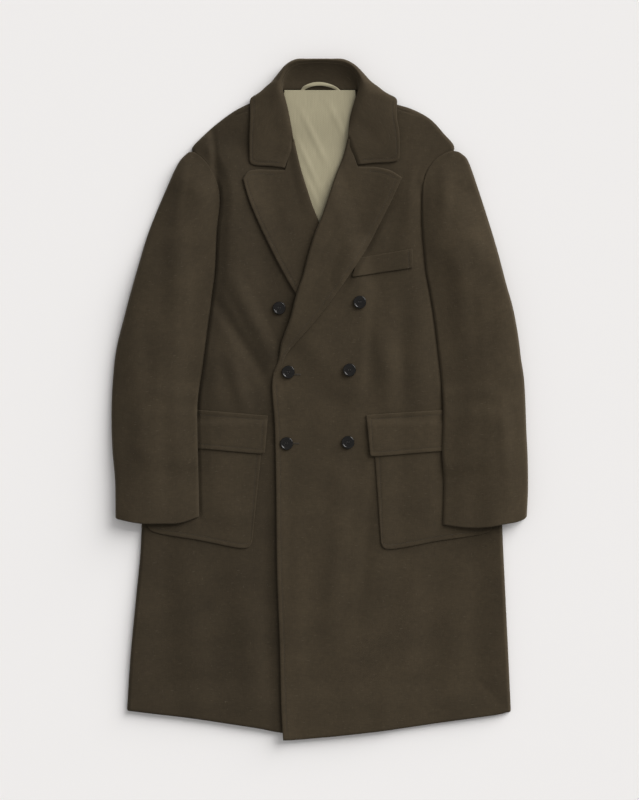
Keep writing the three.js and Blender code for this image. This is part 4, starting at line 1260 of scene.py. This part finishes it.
# %% Lining
LINING_CREASES = [
    [-40, 520, 18, 400, 9, 0.9],
    [-18, 535, 34, 430, 8, -0.6],
    [10, 530, 48, 450, 9, 0.8],
    [-46, 470, 4, 360, 8, 0.7],
    [-30, 400, 8, 318, 7, 0.5],
    [30, 420, 2, 330, 8, 0.6],
]


def make_lining():
    """A patch on the back, with creases."""
    right = through([-26, 286], [-44, 370], [-58, 440], [-66, 500], [-62, 541.8])
    left = through([26, 286], [44, 370], [58, 440], [66, 500], [62, 541.8])
    zero, one = np.zeros(1), np.ones(1)
    us = columns([100], PLAIN_STEPS, PLAIN_STEPS, 44)[0]
    vs = columns([255], PLAIN_STEPS, PLAIN_STEPS, 100)[0]
    plan = patch(right, left, straight(right(zero), left(zero)),
                 straight(right(one), left(one)), us, vs)
    height = LAYER + lift(plan) + LINING_WALL + np.maximum(0, folded(LINING_CREASES, plan))
    cloth_piece("lining_cloth", raised(plan, height), LINING_WALL, lining_twill)


make_lining()


def make_loop():
    """A band between two arcs: its narrow ends are caught under the lining's top edge."""
    outer = through([-34.5, 540], [-29, 547.5], [-14, 554.2], [2, 555.4], [18, 552], [31, 545.5],
                    [38, 540])
    inner = through([-30, 539.5], [-23.5, 543.8], [-11, 548], [4, 548.8], [18, 546], [27.5, 542.5],
                    [33, 539.5])
    zero, one = np.zeros(1), np.ones(1)
    us = columns([7], [0, 0.3, 0.7, 1.3], [0, 0.3, 0.7, 1.3], 5)[0]
    plan = patch(outer, inner, straight(outer(zero), inner(zero)),
                 straight(outer(one), inner(one)), us, np.linspace(0, 1, 60))
    caught = LAYER + 3.6 + LINING_WALL - 0.25
    belly = 0.35 * np.sin(np.pi * us) ** 2
    loop_map = np.stack([np.broadcast_to(us * 7, plan.shape[:2]), lengths(plan, 0)], axis=-1)
    height = caught + 3.4 * ease(541.5, 550, plan[..., 1]) + belly
    cloth_piece("hanger_loop_cloth", raised(plan, height), 1.2, lining_twill,
                cloth_map=loop_map)


make_loop()

# %% [markdown]
# ## Stitches and buttonholes
# A line of stitches runs 8 mm inside the free edges. Its place is found on the piece's own grid,
# where the distance from the edge passes 8 mm, and a stitch is a short round bead of thread laid
# along it. All the stitches of a piece are one mesh. A buttonhole is a purled ring of thread,
# pulled so long and thin that its sides nearly meet.

# %% Thread shapes
THREADS = {}
STITCH_PITCH = 3.6
STITCH_PLACES = np.array([-1.35, -0.8, 0.8, 1.35])
STITCH_RADII = np.array([0.12, 0.30, 0.30, 0.12])
STITCH_LEVEL = 0.12


def tubes(paths, radii, sides, closed=False):
    """Round tubes about paths (m, k, 3). A ring is the path's point plus the radius times the
    cosine along the level direction square to it, and the sine along the upper one."""
    if closed:
        slope = np.roll(paths, -1, axis=1) - np.roll(paths, 1, axis=1)
    else:
        slope = np.gradient(paths, axis=1)
    slope = slope / np.linalg.norm(slope, axis=-1, keepdims=True)
    level = np.cross(slope, [0, 0, 1])
    level = level / np.linalg.norm(level, axis=-1, keepdims=True)
    upper = np.cross(level, slope)
    turns = (2 * np.pi * (np.arange(sides) + 0.5) / sides)[:, None]
    rings = level[:, :, None] * np.cos(turns) + upper[:, :, None] * np.sin(turns)
    rings = paths[:, :, None] + rings * radii[:, None, None]
    count = paths.shape[1]
    if closed:
        faces = quads(count + 1, sides, wrap=True)[:, ::-1] % (count * sides)
    else:
        cap = np.array([[0, 1, 2, 3]] if sides == 4 else [[0, 1, 2, 3], [0, 3, 4, 5]])
        last = cap[:, ::-1] + (count - 1) * sides
        faces = np.concatenate([quads(count, sides, wrap=True)[:, ::-1], cap, last])
    starts = np.arange(len(paths))[:, None, None] * count * sides
    return rings.reshape(-1, 3), (faces + starts).reshape(-1, 4)


def inside_edge(grid, side, others=(), inset=8.0):
    """The line on a grid at a distance inside one edge, as far as it is that far from others."""
    full = np.concatenate([grid, np.stack(edge_distances(grid), axis=-1)], axis=-1)
    if side in (BOTTOM, TOP):
        full = full.transpose(1, 0, 2)
    if side in (RIGHT, TOP):
        full = full[:, ::-1]
    distance = lengths(full[..., :3], 1)
    after = np.clip((distance <= inset).sum(1), 1, full.shape[1] - 1)
    row = np.arange(len(full))
    low, high = distance[row, after - 1], distance[row, after]
    share = np.clip((inset - low) / np.maximum(high - low, 1e-6), 0, 1)[:, None]
    line = full[row, after - 1] * (1 - share) + full[row, after] * share
    far = np.all([line[:, 3 + k] >= inset for k in others], axis=0) if others else row >= 0
    return line[far, :3]


def sew(name, *lines):
    """One mesh of stitches along lines: a stitch is four rings at set places about its middle."""
    paths = []
    for line in lines:
        run = lengths(line, 0)
        middles = np.arange(STITCH_PITCH, run[-1] - STITCH_PITCH / 2, STITCH_PITCH)
        places = middles[:, None] + STITCH_PLACES
        paths.append(np.stack([np.interp(places, run, line[:, k]) for k in range(3)], axis=-1))
    paths = np.concatenate(paths)
    paths[..., 2] += STITCH_LEVEL
    vertices, faces = tubes(paths, STITCH_RADII, 4)
    THREADS[name] = add_mesh(name, vertices, [faces], thread)
    print(name, len(paths), "stitches")


# %% Stitches
LAPEL_TOP = 26  # the first column of a lapel's free top edge
sew("collar_stitches", inside_edge(collar_face, LEFT, (BOTTOM, TOP)))
for wearer_side, face in (("right", lapel_right_face), ("left", lapel_left_face)):
    sew(f"lapel_{wearer_side}_stitches", inside_edge(face[8:], RIGHT, (TOP,)),
        inside_edge(face[:, LAPEL_TOP:], TOP, (RIGHT,)))
sew("front_edge_stitches", inside_edge(front_left_skirt, RIGHT, (BOTTOM,)))
for wearer_side, face, edge in (("right", pocket_right_face, RIGHT),
                                ("left", pocket_left_face, LEFT)):
    sew(f"pocket_{wearer_side}_stitches", inside_edge(face, edge, (BOTTOM,)),
        inside_edge(face, BOTTOM, (edge,)))
for wearer_side, face, edge in (("right", flap_right_face, RIGHT),
                                ("left", flap_left_face, LEFT)):
    sew(f"flap_{wearer_side}_stitches", inside_edge(face, edge, (BOTTOM, TOP)),
        inside_edge(face, BOTTOM, (edge,)), inside_edge(face, TOP, (edge,)))
sew("breast_welt_stitches", inside_edge(welt_face, RIGHT))

# %% Buttonholes
HOLE_PLACES = [(-53, -34, 43.8), (-56, -37, -77)]  # from x, to x, and y
HOLE_HALF = 0.75
PURL = 1.15


def make_buttonholes():
    """Two purled rings: a path round a long slot, with its radius swelling at every purl."""
    for number, (x0, x1, y) in enumerate(HOLE_PLACES):
        straight_part = x1 - x0
        around = 2 * straight_part + 2 * np.pi * HOLE_HALF
        run = np.linspace(0, around, 168, endpoint=False)
        turn = np.clip((run - straight_part) / HOLE_HALF, 0, np.pi)
        back = np.clip((run - 2 * straight_part - np.pi * HOLE_HALF) / HOLE_HALF, 0, np.pi)
        angle = turn + back - np.pi / 2
        returned = np.clip(run - straight_part - np.pi * HOLE_HALF, 0, straight_part)
        x = x0 + np.clip(run, 0, straight_part) - returned + HOLE_HALF * np.cos(angle)
        xy = np.stack([x, y + HOLE_HALF * np.sin(angle)], axis=-1)
        path_round = raised(xy, front_left_top(xy) + 0.25)
        radii = 0.52 + 0.1 * np.cos(2 * np.pi * run / PURL)
        vertices, faces = tubes(path_round[None], radii, 6, closed=True)
        name = f"buttonhole_{('middle', 'bottom')[number]}"
        THREADS[name] = add_mesh(name, vertices, [faces], thread)


make_buttonholes()

# %% [markdown]
# ## Buttons
# A button is turned like a bowl: a profile of radius and height is carried round a circle. The
# four holes are wells in the same polar grid, whose points sink steeply near each hole's centre.
# Two bars of thread hold it.

# %% Buttons
BUTTON_RADIUS = 11.3
BUTTON_HEIGHT = 3.6
BUTTONS = [
    ("top_right", -71, 160, front_right_top),
    ("top_left", 70, 170, front_left_top),
    ("middle_right", -55, 48, front_left_top),
    ("middle_left", 52, 51.5, front_left_top),
    ("bottom_right", -58, -77, front_left_top),
    ("bottom_left", 49.4, -75, front_left_top),
]
HOLE_OFFSET = 1.75
HOLE_RADIUS = 0.85


def button_level(x, y, top):
    """The height at which a button rests: just above the highest cloth under its rim."""
    turns = np.linspace(0, 2 * np.pi, 13)
    ring = np.stack([x + BUTTON_RADIUS * np.cos(turns), y + BUTTON_RADIUS * np.sin(turns)], -1)
    return max(top(ring).max(), top(np.array([[x, y]])).max()) + GAP


def thread_bars(x, y, level):
    """Two bars of three strands between the holes. A strand rises over the middle and sinks
    into a hole at each end: its height falls with the fourth power of the way out."""
    at = np.linspace(-1, 1, 11)
    across_bar = np.array([-0.42, 0, 0.42])
    middle = np.concatenate([across_bar - HOLE_OFFSET, across_bar + HOLE_OFFSET])[:, None]
    paths = np.stack(np.broadcast_arrays(
        x + middle, y + (HOLE_OFFSET + 0.25) * at,
        level + BUTTON_HEIGHT - 0.85 - 1.3 * at ** 4), axis=-1)
    vertices, faces = tubes(paths, np.full(11, 0.26), 6)
    return vertices, [faces]


def make_button(name, x, y, top):
    """Top face, rim and underside as rings of 72 points."""
    r, h = BUTTON_RADIUS, BUTTON_HEIGHT
    dish = np.linspace(0.4, r - 4.2, 26)
    dish_z = h - 1.3 + 0.25 * (dish / (r - 4)) ** 2
    rim = spline([[r - 4, h - 1.1], [r - 3.0, h - 0.75], [r - 2.2, h - 0.1], [r - 1.4, h],
                  [r - 0.5, h - 0.35], [r, 2.2], [r - 0.8, 1.1], [r - 4, 0.2]],
                 np.linspace(0, 1, 40))
    under = np.stack([np.linspace(r - 5, 0.6, 6), np.full(6, 0.25)], axis=1)
    profile = np.concatenate([np.stack([dish, dish_z], axis=1), rim, under])
    turns = np.linspace(0, 2 * np.pi, 72, endpoint=False)
    radius, height = profile[:, :1], np.repeat(profile[:, 1:], 72, axis=1)
    px, py = radius * np.cos(turns), radius * np.sin(turns)
    upper = np.arange(len(profile))[:, None] < len(dish)
    hole = np.hypot(np.abs(px) - HOLE_OFFSET, np.abs(py) - HOLE_OFFSET)
    height = height - np.where(upper, 1.7 * (1 - ease(HOLE_RADIUS * 0.75, HOLE_RADIUS, hole)), 0)
    level = button_level(x, y, top)
    rings = np.stack([px + x, py + y, height + level], axis=-1).reshape(-1, 3)
    poles = np.array([[x, y, level + dish_z[0]], [x, y, level + under[-1, 1]]])
    ring = np.arange(72)
    last, after = 72 * (len(profile) - 1), (ring + 1) % 72
    caps = np.concatenate([
        np.stack([ring, after, np.full(72, len(rings))], axis=1),
        np.stack([last + after, last + ring, np.full(72, len(rings) + 1)], axis=1)])
    around = quads(len(profile), 72, wrap=True)[:, ::-1]
    return add_mesh(f"button_{name}_horn", np.concatenate([rings, poles]), [around, caps],
                    horn), level


for button_name, bx, by, under_it in BUTTONS:
    button, button_z = make_button(button_name, bx, by, under_it)
    PIECES[f"button_{button_name}_horn"] = button
    bars = thread_bars(bx, by, button_z)
    THREADS[f"button_{button_name}_thread"] = add_mesh(f"button_{button_name}_thread",
                                                       *bars, button_thread)

# %% [markdown]
# ## Riding on the frame
# Every piece rides on the coat's one body and stands for its CAD solid, which is hidden.

# %% Riding and cloth facts
CUTS = {  # node: width, length and area of the cut in metres, and what it lies on
    "back": (0.67, 1.13, 0.610, ["floor"]),
    "front_right": (0.42, 1.14, 0.358, ["back_cloth"]),
    "front_left": (0.43, 1.14, 0.370, ["back_cloth", "front_right_cloth"]),
    "lapel_right": (0.14, 0.44, 0.0303, ["front_right_cloth"]),
    "lapel_left": (0.14, 0.44, 0.0310, ["front_left_cloth"]),
    "collar_fall": (0.56, 0.10, 0.0367, ["front_right_cloth", "front_left_cloth"]),
    "collar_stand": (0.44, 0.05, 0.0085, ["back_cloth"]),
    "sleeve_top_right": (0.18, 0.66, 0.0924, ["sleeve_under_right_cloth"]),
    "sleeve_top_left": (0.18, 0.66, 0.0929, ["sleeve_under_left_cloth"]),
    "sleeve_under_right": (0.17, 0.59, 0.0728, ["front_right_cloth"]),
    "sleeve_under_left": (0.17, 0.59, 0.0725, ["front_left_cloth"]),
    "pocket_right": (0.21, 0.21, 0.0375, ["front_right_cloth"]),
    "pocket_left": (0.21, 0.21, 0.0402, ["front_left_cloth"]),
    "flap_right": (0.20, 0.07, 0.0136, ["pocket_right_cloth"]),
    "flap_left": (0.21, 0.075, 0.0156, ["pocket_left_cloth"]),
    "breast_welt": (0.11, 0.035, 0.0036, ["front_left_cloth"]),
}
floor_mesh = bpy.data.meshes.new("floor")
floor_mesh.from_pydata([(-8, -8, 0), (8, -8, 0), (8, 8, 0), (-8, 8, 0)], [], [(0, 1, 2, 3)])
floor = placed("floor", floor_mesh, (0, 0, -0.0004))
floor_paint, floor_tree, floor_shader = principled("floor_paint", (0.853, 0.847, 0.851), 0.8)
floor_mesh.materials.append(floor_paint)

for made in THREADS.values():
    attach(made, "root")

for key, (width, length, area, beneath) in CUTS.items():
    piece = PIECES[f"{key}_cloth"]
    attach(piece, "root")
    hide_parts(key)
for key, cad, cut, area, beneath in [
        ("lining_cloth", "lining_back", (0.135, 0.26), 0.0260, "back_cloth"),
        ("hanger_loop_cloth", "hanger_loop", (0.010, 0.09), 0.0007, "lining_cloth")]:
    piece = PIECES[key]
    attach(piece, "root")
    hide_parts(cad)
for button_name, *_ in BUTTONS:
    piece = PIECES[f"button_{button_name}_horn"]
    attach(piece, "root")
    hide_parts(f"button_{button_name}")
